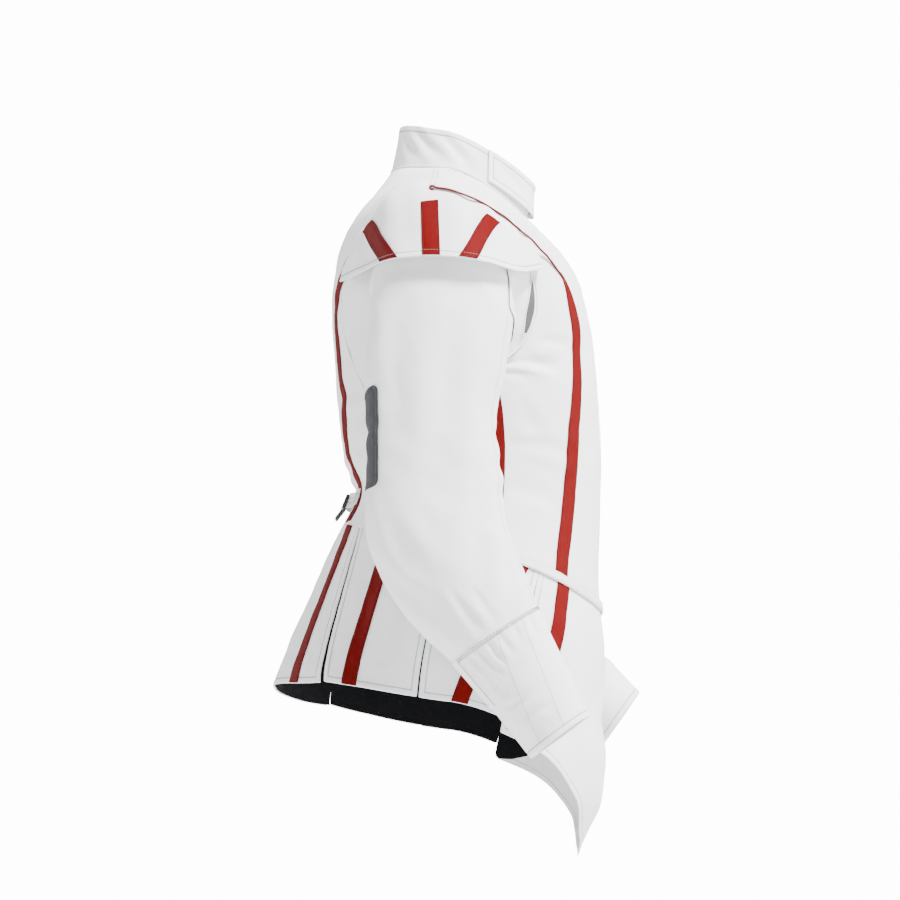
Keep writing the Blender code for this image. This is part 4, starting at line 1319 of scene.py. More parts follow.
def row_on(grid: Points, row: int, lift: float = 0.0003, trim: int = 0) -> Points:
    """One row of a grid, raised a little, for a line of sewing."""
    raised = grid[row] + grid_normals(grid)[row] * lift
    return raised[trim:len(raised) - trim] if trim else raised


def column_on(grid: Points, column: int, lift: float = 0.0003, trim: int = 0) -> Points:
    """One column of a grid, raised a little, for a line of sewing."""
    raised = grid[:, column] + grid_normals(grid)[:, column] * lift
    return raised[trim:len(raised) - trim] if trim else raised


def beside_edges(grid: Points, inset: float, lift: float = 0.0004) -> list[Points]:
    """Two lines inside a ribbon's two long edges."""
    normals = grid_normals(grid)
    lines = []
    for edge, other in ((0, -1), (-1, 0)):
        way = unit(grid[:, other] - grid[:, edge])
        lines.append(grid[:, edge] + way * inset + normals[:, edge] * lift)
    return lines


@dataclass(frozen=True)
class Kit:
    """What every sub-assembly is made with."""

    body: BodyForm
    arm: ArmForm
    finish: Finishes
    trees: Trees


@dataclass
class Piece:
    """One cloth piece in the making: its grid, its hems and its relief."""

    name: str
    grid: Points
    hems: Hems
    thickness: float = MAKING.cloth

    def made(self, finish: bpy.types.Material, slot: Slot, nodes: Sequence[str], sheet: bool = True) -> bpy.types.Object:
        """Closes the grid into a shell and dresses it."""
        made = cloth_object(self.name, self.grid, self.thickness, self.hems)
        return dressed(made, finish, nodes)


@dataclass(frozen=True)
class BodyPanels:
    """Back and fronts, with their ribbons, waist bands, side seams and front zip."""

    kit: Kit
    # Angle, step down the body and width of each ribbon down its middle. The front one narrows to a cord's width.
    front_ribbon: tuple = (
        (140.9, 2.69, 0.0026), (142.2, 2.75, 0.0040), (144.0, 2.95, 0.0105), (144.9, 3.13, 0.0165), (145.8, 3.38, 0.0195),
        (146.5, 3.69, 0.0200), (145.6, 4.02, 0.0200), (141.8, 4.68, 0.0200), (138.3, 5.11, 0.0200),
        (135.3, 5.43, 0.0200), (132.5, 5.83, 0.0200), (131.8, 5.99, 0.0200),
    )
    side_ribbon: tuple = (
        (98.3, 4.50, 0.020), (98.8, 4.66, 0.020), (99.8, 5.01, 0.020), (100.1, 5.20, 0.020), (99.8, 5.31, 0.020),
        (98.9, 5.56, 0.020), (98.5, 5.82, 0.020), (98.6, 5.99, 0.020),
    )
    back_ribbon: tuple = (
        (50.0, 2.64, 0.020), (41.0, 2.70, 0.020), (32.0, 2.86, 0.020), (24.5, 3.14, 0.020),
        (19.0, 3.50, 0.020), (16.5, 4.00, 0.020), (19.0, 4.45, 0.020), (21.5, 4.90, 0.020), (20.0, 5.20, 0.020),
        (17.5, 5.40, 0.020), (17.5, 5.62, 0.020), (20.0, 5.80, 0.020), (21.0, 5.98, 0.020),
    )
    rear_fold: tuple = (
        (25.5, 3.15), (28.3, 3.64), (28.8, 4.02), (33.0, 4.35), (38.9, 4.61), (44.2, 4.86),
    )
    strap_half_height: float = 0.0095
    strap_level: tuple = (-0.395, -0.452)
    zip_half: float = 0.011
    band_rise: float = 0.0026
    # Angle and height of each fold's line on the body, then its half width and depth.
    folds: tuple = (
        (((120, -0.2400), (129, -0.2385), (139, -0.2400)), 0.0052, 0.0030),
        (((105, -0.2565), (111, -0.2555), (118, -0.2565)), 0.0050, 0.0026),
        (((102, -0.2675), (115, -0.2665), (130, -0.2690)), 0.0060, 0.0046),
        (((103, -0.2810), (108, -0.2812), (114, -0.2820)), 0.0050, 0.0024),
        (((107, -0.3660), (120, -0.3680), (135, -0.3700)), 0.0080, 0.0022),
        (((104, -0.4200), (118, -0.4260), (130, -0.4340)), 0.0100, 0.0013),
        (((110, -0.3100), (114, -0.3400), (120, -0.3650)), 0.0100, 0.0012),
        (((64, -0.300), (70, -0.345), (82, -0.400)), 0.0120, 0.0030),
        (((30, -0.360), (48, -0.372), (70, -0.398)), 0.0110, 0.0024),
        (((22, -0.395), (44, -0.406), (66, -0.428)), 0.0090, 0.0022),
        (((38, -0.330), (56, -0.335), (74, -0.352)), 0.0110, 0.0018),
        (((12, -0.300), (34, -0.292), (52, -0.276)), 0.0130, 0.0016),
        (((46, -0.170), (38, -0.215), (34, -0.262)), 0.0120, 0.0020),
        (((-12, -0.385), (8, -0.378), (24, -0.384)), 0.0080, 0.0018),
    )

    def fold_line(self, line: Sequence[tuple], side: Side) -> tuple:
        """Points of a fold given as angles and heights."""
        turns = np.array([abs(turn) for turn, _ in line], float)
        heights = np.array([height for _, height in line], float)
        points = self.kit.body.at_level(turns, heights)
        points[:, 0] *= np.where(np.array([turn for turn, _ in line]) < 0, -1.0, 1.0)
        return tuple(map(tuple, points * (MIRROR if side is Side.LEFT else 1.0)))

    def relief(self) -> Relief:
        """The body's folds on both sides, a little shifted on the left."""
        made = []
        for index, (line, width, depth) in enumerate(self.folds):
            made.append(Fold(self.fold_line(line, Side.RIGHT), width, depth))
            shift = 0.008 * math.sin(2.1 * index + 0.7)
            moved = [(turn * (1 + 0.03 * math.sin(1.7 * index)), height + shift) for turn, height in line]
            made.append(Fold(self.fold_line(moved, Side.LEFT), width * 1.05, depth * (0.85 + 0.2 * math.sin(index))))
        return Relief(tuple(made))

    def lines(self, front: bool) -> list[Points]:
        """Close-set rows of a panel, from its side edge to the middle."""
        return [self.kit.body.row_line(step, turn, front) for step, turn in self.kit.body.rows()]

    def both(self, name: str, node: str, grid: Points, thickness: float, hems: Hems,
             finish: bpy.types.Material, slot: Slot, relief: Relief, rise: float = 0.0, sheet: bool = True) -> list[Points]:
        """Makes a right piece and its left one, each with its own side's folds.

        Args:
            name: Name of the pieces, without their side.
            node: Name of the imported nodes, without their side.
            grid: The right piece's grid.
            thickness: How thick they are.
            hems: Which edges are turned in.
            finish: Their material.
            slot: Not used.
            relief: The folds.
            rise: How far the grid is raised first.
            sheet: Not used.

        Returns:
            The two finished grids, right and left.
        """
        grids = []
        for side in Side:
            placed = grid if side is Side.RIGHT else mirrored(grid)
            turned = hems if side is Side.RIGHT else hems.turned()
            placed = turned.on(relief.on(placed, rise))
            Piece(f"{name}_{side.value}", placed, turned, thickness).made(finish, slot, [f"{node}_{side.value}"], sheet)
            grids.append(placed)
        return grids

    def build(self) -> None:
        """Builds every piece of the body."""
        kit, relief = self.kit, self.relief()
        front_lines, back_lines = self.lines(True), self.lines(False)
        plain = Hems()
        front = grid_from(front_lines, Hems(end=True), 116, 58)
        fronts = self.both("front_cloth", "front", front, MAKING.cloth, Hems(end=True), kit.finish.white, Slot.WHITE, relief)
        half = [line[::-1] for line in back_lines]
        whole = [np.concatenate([(line * MIRROR)[::-1][:-1], line]) for line in half]
        back = plain.on(relief.on(grid_from(whole, plain, 116, 84)))
        Piece("back_cloth", back, plain).made(kit.finish.white, Slot.WHITE, ["back"])
        for name, path in (("front", self.front_ribbon), ("side", self.side_ribbon), ("back", self.back_ribbon)):
            self.sewn_ribbon(name, kit.body.strip(path), relief, MAKING.ribbon_rise)
        edge = through(np.array(self.rear_fold), np.linspace(0.0, len(self.rear_fold) - 1.0, 80))
        cord = kit.body.points(edge[:, 0], edge[:, 1])
        from_lines("rear_piping", [cord, cord * MIRROR], kit.trees.piping, kit.finish.band, Slot.WHITE, Radius=0.0012)
        self.build_bands(front_lines, relief)
        self.build_side_seams(fronts, back)
        self.build_zip(front_lines)

    def sewn_ribbon(self, name: str, grid: Points, relief: Relief, rise: float) -> None:
        """A ribbon on each side, with its two lines of red sewing."""
        kit = self.kit
        grids = self.both(f"ribbon_{name}", f"tape_{name}", grid, MAKING.ribbon, Hems(), kit.finish.ribbon, Slot.RED,
                          relief, rise, sheet=False)
        lines = [line for placed in grids for line in beside_edges(placed, 0.0016, 0.0001)]
        from_lines(f"sewing_{name}_ribbon", lines, kit.trees.stitches, kit.finish.red_thread, Slot.RED,
                   Pitch=0.0028, Length=0.0021, Thickness=0.00045)

    def build_bands(self, lines: Sequence[Points], relief: Relief) -> None:
        """The narrow corded band over each front's waist seam."""
        kit = self.kit
        grid = grid_from([lines[at] for at in range(len(lines) - 5, len(lines))], Hems(), 10, 90)
        down = np.linspace(0.0, 1.0, len(grid))[:, None, None]
        round_off = np.sin(math.pi * down) ** 0.6 * 0.0011
        grid = grid + grid_normals(grid) * round_off
        grids = self.both("waist_piping", "waist_band", grid, MAKING.ribbon, Hems(), kit.finish.band, Slot.WHITE, relief,
                          self.band_rise, sheet=False)
        edges = [row_on(placed, row, 0.0002) for placed in grids for row in (1, -2)]
        from_lines("sewing_waist", edges, kit.trees.stitches, kit.finish.thread, Slot.WHITE,
                   Pitch=0.0030, Length=0.0022, Thickness=0.0007)

    def build_side_seams(self, fronts: Sequence[Points], back: Points) -> None:
        """The shoulder seam's double line of sewing."""
        kit = self.kit
        top = int(0.16 * len(back))
        lines = []
        for grid, columns in ((fronts[0], (3, 5)), (fronts[1], (-4, -6))):
            lines += [column_on(grid, column, 0.0004)[4:top] for column in columns]
        from_lines("sewing_shoulders", lines, kit.trees.stitches, kit.finish.thread, Slot.WHITE,
                   Pitch=0.0031, Length=0.0023, Thickness=0.0008)

    def build_zip(self, lines: Sequence[Points]) -> None:
        """Zip tape behind the front edges, its coil, and the sewing beside it."""
        kit = self.kit
        edge = np.array([line[-1] for line in lines])
        inside = np.array([cut_line(line[::-1], np.array([self.zip_half]))[0] for line in lines])
        normal = unit(np.cross(np.gradient(edge, axis=0), edge - inside)) * -1.0
        behind = normal * (MAKING.cloth + 0.0012)
        sign = np.sign(np.sum(normal * np.array((0.0, -1.0, 0.0)), axis=1))[:, None]
        behind = behind * sign
        right = inside - behind
        middle = (edge - behind) * np.array((0.0, 1.0, 1.0))
        rows = [right + (middle - right) * share for share in (0.0, 0.25, 0.5, 0.75, 1.0)]
        rows += [(right + (middle - right) * share) * MIRROR for share in (0.75, 0.5, 0.25, 0.0)]
        Piece("zip_webbing", np.stack(rows, axis=1), Hems(), MAKING.ribbon).made(
            kit.finish.strap, Slot.ZIP, ["zip_tape"], sheet=False)
        out = normal * sign
        coil = (middle + out * 0.0007)[3:-3]
        from_lines("zip_coil", [coil], kit.trees.coil, kit.finish.coil, Slot.ZIP, Pitch=0.0017, Width=0.0040, Height=0.0013)
        sewing = [line for side in (1.0, -1.0) for line in [(edge + (inside - edge) * 0.55 + out * 0.0006) * (side, 1, 1)]]
        from_lines("sewing_zip", sewing, kit.trees.stitches, kit.finish.thread, Slot.WHITE,
                   Pitch=0.0030, Length=0.0022, Thickness=0.0008)


@dataclass(frozen=True)
class SkirtPanels:
    """The seven skirt panels below the waist seam, their black linings and their ribbons."""

    kit: Kit
    # Top angles, hem angles, place of the ribbon at the top and the hem, hem heights.
    panels: tuple = (
        ("side_back", (39.6, 84.0), (50.0, 82.5), (0.44, 0.30), (-0.657, -0.662, -0.667, -0.673, -0.679)),
        ("side_front", (84.5, 119.0), (83.3, 104.0), (0.80, 0.50), (-0.680, -0.684, -0.689, -0.695, -0.702)),
        ("front", (119.5, 180.0), (104.8, 180.0), (0.20, 0.13), (-0.722, -0.751, -0.796, -0.838, -0.858)),
    )
    back_half: tuple = (38.0, 48.0)
    back_hem: tuple = (-0.650, -0.651, -0.653, -0.656, -0.658)
    back_ribbon: tuple = (0.74, 0.72)
    rows: int = 64
    lining_inset: tuple = (-0.0030, 0.0006)
    front_facing: float = 0.034
    # Angle and height of each fold's line, then its half width and depth.
    folds: tuple = (
        (((168, -0.690), (172, -0.712), (178, -0.735)), 0.0075, 0.0024),
        (((160, -0.700), (165, -0.722), (170, -0.742)), 0.0070, 0.0018),
        (((150, -0.590), (154, -0.660), (158, -0.720)), 0.0150, 0.0026),
        (((128, -0.600), (130, -0.670), (132, -0.740)), 0.0160, 0.0024),
        (((100, -0.540), (98, -0.600), (97, -0.670)), 0.0140, 0.0022),
        (((74, -0.520), (72, -0.580), (70, -0.650)), 0.0130, 0.0024),
        (((56, -0.500), (58, -0.560), (61, -0.640)), 0.0120, 0.0020),
        (((20, -0.480), (22, -0.550), (24, -0.630)), 0.0160, 0.0026),
        (((0, -0.470), (1, -0.540), (1, -0.620)), 0.0150, 0.0022),
        (((140, -0.640), (138, -0.720), (136, -0.780)), 0.0140, 0.0018),
    )

    def line(self, turns: tuple, hem: tuple, share: float) -> Points:
        """One close-set row across a panel, a share of the way from the waist seam to the hem."""
        across = np.linspace(0.0, 1.0, MAKING.samples)
        angles = turns[0] + (turns[1] - turns[0]) * across
        top = level_round(angles, *self.kit.body.waist_seam) - MAKING.waist_gap
        low = through(np.array(hem), across * (len(hem) - 1))
        return self.kit.body.at_level(angles, top + (low - top) * share)

    def panel_lines(self, top: tuple, bottom: tuple, hem: tuple, front: bool) -> list[Points]:
        """Every row of one right panel."""
        lines = []
        for row in range(self.rows + 1):
            share = row / self.rows
            turns = tuple(a + (b - a) * share for a, b in zip(top, bottom))
            line = self.line(turns, hem, share)
            if front:
                line = cut_line(line, np.linspace(0.0, lengths_of(line)[-1] - 0.0020, MAKING.samples))
            lines.append(line)
        return lines

    def lining(self, grid: Points, relief: Relief, corner: float = 0.0, facing: float = 0.0) -> Points:
        """Inner cloth of a panel, wide enough to pass behind the slits beside it.

        Args:
            grid: The panel's grid.
            relief: The folds.
            corner: Radius of its lower corners.
            facing: How far its hem rises toward the front edge.

        Returns:
            The lining's grid.
        """
        side, hem = self.lining_inset
        made = relief.on(grid, -(MAKING.cloth + MAKING.lining_gap))
        across = np.linspace(0.0, 1.0, made.shape[1])
        for column, share in enumerate(across):
            line = made[:, column]
            total = lengths_of(line)[-1]
            low = hem + facing * float(smooth_step(0.10, 0.32, share))
            made[:, column] = cut_line(line, 0.003 + lengths_of(line) * (total - low - 0.003) / total)
        down = lengths_of(made[:, made.shape[1] // 2])
        aside = unit(np.gradient(made, axis=1))
        for row in range(len(made)):
            left = down[-1] - down[row]
            inset = side + corner - math.sqrt(max(corner**2 - max(corner - left, 0.0) ** 2, 0.0))
            made[row] += aside[row] * (inset * (1.0 - 2.0 * across))[:, None]
        return made

    def build(self) -> None:
        """Builds every skirt piece."""
        kit = self.kit
        body = BodyPanels(kit, folds=self.folds)
        relief = body.relief()
        hems = Hems(bottom=True, start=True, end=True)
        sewing: list[Points] = []
        ribbon_sewing: list[Points] = []
        for name, top, bottom, place, hem in self.panels:
            lines = self.panel_lines(top, bottom, hem, name == "front")
            grid = grid_from(lines, hems, 58, 30 if name != "front" else 62)
            grids = body.both(f"skirt_{name}_cloth", f"skirt_{name}", grid, MAKING.cloth, hems, kit.finish.white,
                              Slot.WHITE, relief)
            for placed in grids:
                sewing += self.hem_lines(placed)
            body.both(f"skirt_{name}_lining", f"lining_{name}", self.lining(grid_from(lines, Hems(), 32, 20), relief, *((0.004, self.front_facing) if name == "front" else ())),
                      MAKING.lining, Hems(),
                      kit.finish.lining, Slot.LINING, Relief(swell=0.0003))
            ribbon_sewing += self.ribbon(body, name, lines, place, relief)
        halves = []
        for row in range(self.rows + 1):
            share = row / self.rows
            end = self.back_half[0] + (self.back_half[1] - self.back_half[0]) * share
            halves.append(self.line((0.0, end), self.back_hem, share))
        whole = [np.concatenate([mirrored(half[None])[0][:-1], half]) for half in halves]
        plain = grid_from(whole, hems, 58, 56)
        grid = hems.on(relief.on(plain))
        Piece("skirt_back_cloth", grid, hems).made(kit.finish.white, Slot.WHITE, ["skirt_back"])
        sewing += self.hem_lines(grid)
        Piece("skirt_back_lining", self.lining(grid_from(whole, Hems(), 32, 28), relief), Hems(), MAKING.lining).made(
            kit.finish.lining, Slot.LINING, ["lining_back"])
        ribbon_sewing += self.ribbon(body, "back", halves, self.back_ribbon, relief)
        from_lines("sewing_skirt_hems", sewing, kit.trees.stitches, kit.finish.thread, Slot.WHITE,
                   Pitch=0.0034, Length=0.0026, Thickness=0.0008)
        from_lines("sewing_skirt_ribbons", ribbon_sewing, kit.trees.stitches, kit.finish.red_thread, Slot.RED,
                   Pitch=0.0028, Length=0.0021, Thickness=0.00045)

    def ribbon(self, body: BodyPanels, name: str, lines: Sequence[Points], place: tuple, relief: Relief) -> list[Points]:
        """The two ribbons of a panel, and the lines of their sewing."""
        middles = []
        for row, line in enumerate(lines):
            total = lengths_of(line)[-1]
            share = place[0] + (place[1] - place[0]) * row / self.rows
            middles.append(min(max(total * share, 0.0142), total - 0.0142))
        grid = band_on(lines, middles, MAKING.ribbon_width)
        grids = body.both(f"ribbon_skirt_{name}", f"skirt_tape_{name}", grid, MAKING.ribbon, Hems(), self.kit.finish.ribbon,
                          Slot.RED, relief, MAKING.ribbon_rise, sheet=False)
        return [line for placed in grids for line in beside_edges(placed, 0.0016, 0.0001)]

    @staticmethod
    def hem_lines(grid: Points) -> list[Points]:
        """Lines of topstitch along the hem and both side edges."""
        last = len(HEM_STEPS) - 1
        row = row_on(grid, -1 - STITCH_ROW, 0.0002, STITCH_ROW)
        sides = [column_on(grid, column, 0.0002)[: len(grid) - STITCH_ROW] for column in (STITCH_ROW, -1 - STITCH_ROW)]
        return [row] + [side[last:] for side in sides]


@dataclass(frozen=True)
class Arms:
    """Sleeves, cuffs, elbow patches, net gussets and their sewing."""

    kit: Kit
    upper: tuple = (-144.0, 72.0)
    under: tuple = (72.0, 216.0)
    side_gap: float = 0.00075
    patch_turns: tuple = (-126.0, -54.0)
    patch_places: tuple = (3.5, 5.0)
    gusset_turns: tuple = (73.0, 125.0)
    gusset_places: tuple = (0.12, 2.0)
    crescent: float = 0.30
    slit_at: float = -105.0
    slit_half: float = 3.0
    # Angle round the arm and place down it of each fold's line, then its half width and depth.
    folds: tuple = (
        (((-70, 0.45), (-48, 1.0), (-30, 1.6)), 0.0120, 0.0030),
        (((-20, 0.7), (-6, 1.3), (0, 2.0)), 0.0150, 0.0018),
        (((40, 0.8), (58, 1.25), (80, 1.6)), 0.0100, 0.0026),
        (((30, 1.6), (50, 1.9), (84, 2.1)), 0.0110, 0.0020),
        (((62, 4.35), (92, 4.20), (122, 4.35)), 0.0080, 0.0016),
        (((50, 4.85), (90, 4.70), (132, 4.85)), 0.0085, 0.0018),
        (((58, 5.40), (94, 5.30), (128, 5.45)), 0.0080, 0.0014),
        (((-128, 4.12), (-92, 4.18), (-58, 4.06)), 0.0070, 0.0020),
        (((-122, 4.62), (-90, 4.56), (-66, 4.66)), 0.0070, 0.0008),
        (((-30, 2.3), (-34, 3.4), (-26, 4.6)), 0.0170, 0.0026),
        (((14, 2.8), (10, 4.2), (-2, 5.6)), 0.0190, 0.0028),
        (((42, 5.6), (30, 6.4), (20, 7.4)), 0.0150, 0.0024),
        (((-40, 5.5), (-34, 6.3), (-24, 7.2)), 0.0140, 0.0024),
        (((-76, 6.3), (-50, 6.9), (-30, 7.7)), 0.0110, 0.0024),
        (((70, 6.6), (50, 7.1), (36, 7.8)), 0.0100, 0.0020),
        (((-14, 7.2), (-14, 7.6), (-13, 7.97)), 0.0060, 0.0018),
        (((4, 7.3), (5, 7.6), (6, 7.97)), 0.0050, 0.0014),
        (((150, 2.4), (160, 3.6), (156, 5.0)), 0.0180, 0.0026),
        (((-170, 5.2), (-176, 6.2), (176, 7.3)), 0.0150, 0.0024),
        (((110, 1.2), (126, 1.7), (150, 2.2)), 0.0110, 0.0026),
        (((190, 0.8), (180, 1.5), (172, 2.3)), 0.0130, 0.0026),
    )
    cuff_folds: tuple = (
        (((-62, 0.03), (-58, 0.30), (-52, 0.70)), 0.0045, 0.0026),
        (((-44, 0.03), (-42, 0.35), (-38, 0.90)), 0.0042, 0.0029),
        (((-28, 0.03), (-27, 0.30), (-25, 0.62)), 0.0036, 0.0026),
        (((-14, 0.03), (-14, 0.26), (-13, 0.50)), 0.0034, 0.0021),
        (((2, 0.03), (2, 0.24), (3, 0.45)), 0.0036, 0.0018),
        (((22, 0.03), (21, 0.22), (20, 0.40)), 0.0036, 0.0016),
        (((48, 0.03), (46, 0.26), (44, 0.50)), 0.0040, 0.0019),
        (((80, 0.03), (78, 0.30), (76, 0.60)), 0.0042, 0.0021),
        (((112, 0.03), (110, 0.30), (108, 0.64)), 0.0042, 0.0022),
        (((146, 0.03), (144, 0.26), (142, 0.55)), 0.0042, 0.0022),
        (((182, 0.03), (180, 0.30), (178, 0.60)), 0.0042, 0.0022),
        (((-50, 1.10), (-16, 1.20), (20, 1.12)), 0.0055, 0.0019),
        (((-30, 1.42), (4, 1.50), (40, 1.38)), 0.0055, 0.0016),
        (((70, 1.00), (100, 1.12), (130, 1.04)), 0.0060, 0.0021),
        (((150, 1.25), (180, 1.36), (210, 1.28)), 0.0060, 0.0021),
    )
    # Turn at the seam and at the hem of each lengthwise line of sewing on the cuff.
    cuff_lines: tuple = ((1.0, -38.0), (36.0, 10.0))
    facing_turns: tuple = (-99.0, -66.0)
    facing_places: tuple = (0.03, 0.98)

    def lay(self, line: Sequence[tuple], on_cuff: bool) -> tuple:
        """Points of a fold given as angles and places on the arm."""
        form = self.kit.arm.cuff if on_cuff else self.kit.arm.sleeve
        return tuple(tuple(form(np.array([float(turn)]), place)[0]) for turn, place in line)

    def relief(self, side: Side, on_cuff: bool = False) -> Relief:
        """The arm's folds, moved a little on the left."""
        made = []
        for index, (line, width, depth) in enumerate(self.cuff_folds if on_cuff else self.folds):
            if side is Side.LEFT:
                moved = 5.0 * math.sin(1.9 * index + 0.4)
                line = [(turn + moved, place) for turn, place in line]
                depth *= 0.9 + 0.25 * math.sin(1.3 * index)
            made.append(Fold(self.lay(line, on_cuff), width, depth))
        return Relief(tuple(made), swell=0.0008 if not on_cuff else 0.0004)

    def placed(self, grid: Points, side: Side) -> Points:
        """A grid of the right arm brought to its side."""
        return grid if side is Side.RIGHT else self.kit.arm.left(grid)

    def sleeve_lines(self, turns: tuple, places: tuple, count: int) -> list[Points]:
        """Close-set rows round part of the sleeve, drawn in a little at their ends."""
        lines = []
        for place in np.linspace(places[0], places[1], count):
            line = self.kit.arm.sleeve(np.linspace(turns[0], turns[1], MAKING.samples), float(place))
            total = lengths_of(line)[-1]
            lines.append(cut_line(line, np.linspace(self.side_gap, total - self.side_gap, MAKING.samples)))
        return lines

    def build(self) -> None:
        """Builds both arms."""
        for side in Side:
            self.build_sleeve(side)
            self.build_cuff(side)

    def build_sleeve(self, side: Side) -> None:
        """One sleeve, its elbow patch and its gusset."""
        kit, tag = self.kit, side.value
        relief = self.relief(side)
        plain = Hems()
        sewing: list[Points] = []
        for name, turns, across in (("upper", self.upper, 80), ("under", self.under, 52)):
            grid = relief.on(grid_from(self.sleeve_lines(turns, (0.0, 8.0), 240), plain, 112, across))
            grid = self.placed(grid, side)
            Piece(f"sleeve_{name}_cloth_{tag}", grid, plain).made(kit.finish.white, Slot.WHITE, [f"sleeve_{name}_{tag}"])
            sewing += [column_on(grid, column, 0.0002)[2:-2] for column in ((2, -3) if name == "upper" else ())]
        hems = Hems(top=True, bottom=True, start=True, end=True, proud=0.0003, groove=0.0003)
        patch = self.rounded(grid_from(self.sleeve_lines(self.patch_turns, self.patch_places, 90), hems, 30, 20))
        patch = self.placed(hems.on(relief.on(patch, MAKING.ribbon_rise)), side)
        Piece(f"elbow_cloth_{tag}", patch, hems, 0.0008).made(kit.finish.patch, Slot.PATCH, [f"elbow_patch_{tag}"])
        lines = [row_on(patch, 3, 0.0002, 3), row_on(patch, -4, 0.0002, 3)]
        lines += [column_on(patch, 3, 0.0002, 3), column_on(patch, -4, 0.0002, 3)]
        from_lines(f"sewing_elbow_{tag}", lines, kit.trees.stitches, kit.finish.grey_thread, Slot.PATCH,
                   Pitch=0.0030, Length=0.0022, Thickness=0.0005)
        gusset = grid_from(self.sleeve_lines(self.gusset_turns, self.gusset_places, 80), plain, 40, 26)
        gusset = self.placed(relief.on(gusset, MAKING.ribbon_rise), side)
        Piece(f"gusset_net_{tag}", gusset, plain, 0.0008).made(kit.finish.net, Slot.NET, [f"gusset_{tag}"])
        folded = self.placed(relief.on(grid_from(self.folded_lines(), Hems(), 40, 30), 0.0021), side)
        Piece(f"gusset_fold_{tag}", folded, Hems(), 0.0007).made(kit.finish.white, Slot.WHITE, [], sheet=False)
        rim = np.array([kit.arm.sleeve(np.linspace(70.0, 144.0, 90), place) for place in (0.02, 0.08, 0.14)])
        edges = [row_on(folded, 0, 0.0004), row_on(self.placed(relief.on(rim, 0.0006), side), 0, 0.0)]
        from_lines(f"gusset_piping_{tag}", edges, kit.trees.piping, kit.finish.band, Slot.WHITE, Radius=0.0011)
        from_lines(f"sewing_sleeve_{tag}", sewing, kit.trees.stitches, kit.finish.thread, Slot.WHITE,
                   Pitch=0.0032, Length=0.0024, Thickness=0.0005)

    def folded_lines(self) -> list[Points]:
        """Rows of the white cloth folded over the net: it leaves a thin crescent of net by the armhole."""
        turns = np.linspace(self.gusset_turns[0] - 1.0, self.gusset_turns[1] + 30.0, MAKING.samples)
        around = np.sin(math.pi * np.clip((turns - 74.0) / 60.0, 0.0, 1.0)) ** 0.8
        top = self.gusset_places[0] - 0.04 + self.crescent * around
        low = self.gusset_places[1] + 0.05
        return [self.kit.arm.sleeve(turns, top + (low - top) * share) for share in np.linspace(0.0, 1.0, 60)]

    @staticmethod
    def rounded(grid: Points) -> Points:
        """A patch with its corners drawn in round."""
        made = grid.copy()
        rows, columns = grid.shape[:2]
        down = lengths_of(grid[:, columns // 2])
        for row in range(rows):
            away = min(down[row], down[-1] - down[row])
            corner = 0.010
            cut = corner - math.sqrt(max(corner**2 - max(corner - away, 0.0) ** 2, 0.0))
            total = lengths_of(grid[row])[-1]
            made[row] = cut_line(grid[row], cut + lengths_of(grid[row]) * (total - 2 * cut) / total)
        return made

    def build_cuff(self, side: Side) -> None:
        """One cuff: gathered under its seam, open along its slit, with its facing and sewing."""
        kit, tag = self.kit, side.value
        relief = self.relief(side, True)
        first = self.slit_at + self.slit_half
        turns = np.linspace(first, first + 360.0 - 2 * self.slit_half, 2 * MAKING.samples)
        lines = [kit.arm.cuff(turns, float(place)) for place in np.linspace(0.0, 2.0, 90)]
        hems = Hems(top=True, bottom=True, start=True, end=True)
        grid = self.placed(hems.on(relief.on(grid_from(lines, hems, 32, 104))), side)
        Piece(f"cuff_cloth_{tag}", grid, hems).made(kit.finish.white, Slot.WHITE, [f"cuff_{tag}"])
        sewing = [row_on(grid, -1 - STITCH_ROW, 0.0002, STITCH_ROW), row_on(grid, STITCH_ROW, 0.0002, STITCH_ROW)]
        sewing += [column_on(grid, column, 0.0002, STITCH_ROW) for column in (STITCH_ROW, -1 - STITCH_ROW)]
        for top, bottom in self.cuff_lines:
            places = np.linspace(0.02, 1.93, 60)
            run = np.array([kit.arm.cuff(np.array([top + (bottom - top) * p / 2 - 1.0, top + (bottom - top) * p / 2]), float(p))
                            for p in places])
            run = np.stack([run[:, 0], run[:, 1]], axis=1)
            sewing.append(self.placed(relief.on(run, 0.0002), side)[:, 1 if side is Side.RIGHT else 0])
        from_lines(f"sewing_cuff_{tag}", sewing, kit.trees.stitches, kit.finish.thread, Slot.WHITE,
                   Pitch=0.0031, Length=0.0023, Thickness=0.0008)
        zigzag = [self.zigzag(grid, side)]
        from_lines(f"zigzag_cuff_{tag}", zigzag, kit.trees.piping, kit.finish.thread, Slot.WHITE, Radius=0.0004)
        strip = [kit.arm.cuff(np.linspace(*self.facing_turns, 60), float(place))
                 for place in np.linspace(*self.facing_places, 60)]
        edged = Hems(start=True, end=True, bottom=True, proud=0.0003)
        facing = self.placed(edged.on(relief.on(grid_from(strip, edged, 26, 12), 0.0013)), side)
        made = cloth_object(f"cuff_facing_{tag}", facing, 0.0008, edged)
        dressed(made, kit.finish.band)

    @staticmethod
    def zigzag(grid: Points, side: Side) -> Points:
        """A zigzag line of sewing over the gathers, just under the cuff's seam."""
        upper, lower = row_on(grid, 2, 0.0004), row_on(grid, 4, 0.0004)
        total = lengths_of(upper)[-1]
        count = int(total / 0.0022)
        places = np.linspace(0.002, total - 0.002, count)
        first, second = cut_line(upper, places), cut_line(lower, places * lengths_of(lower)[-1] / total)
        return np.where((np.arange(count) % 2 == 0)[:, None], first, second)


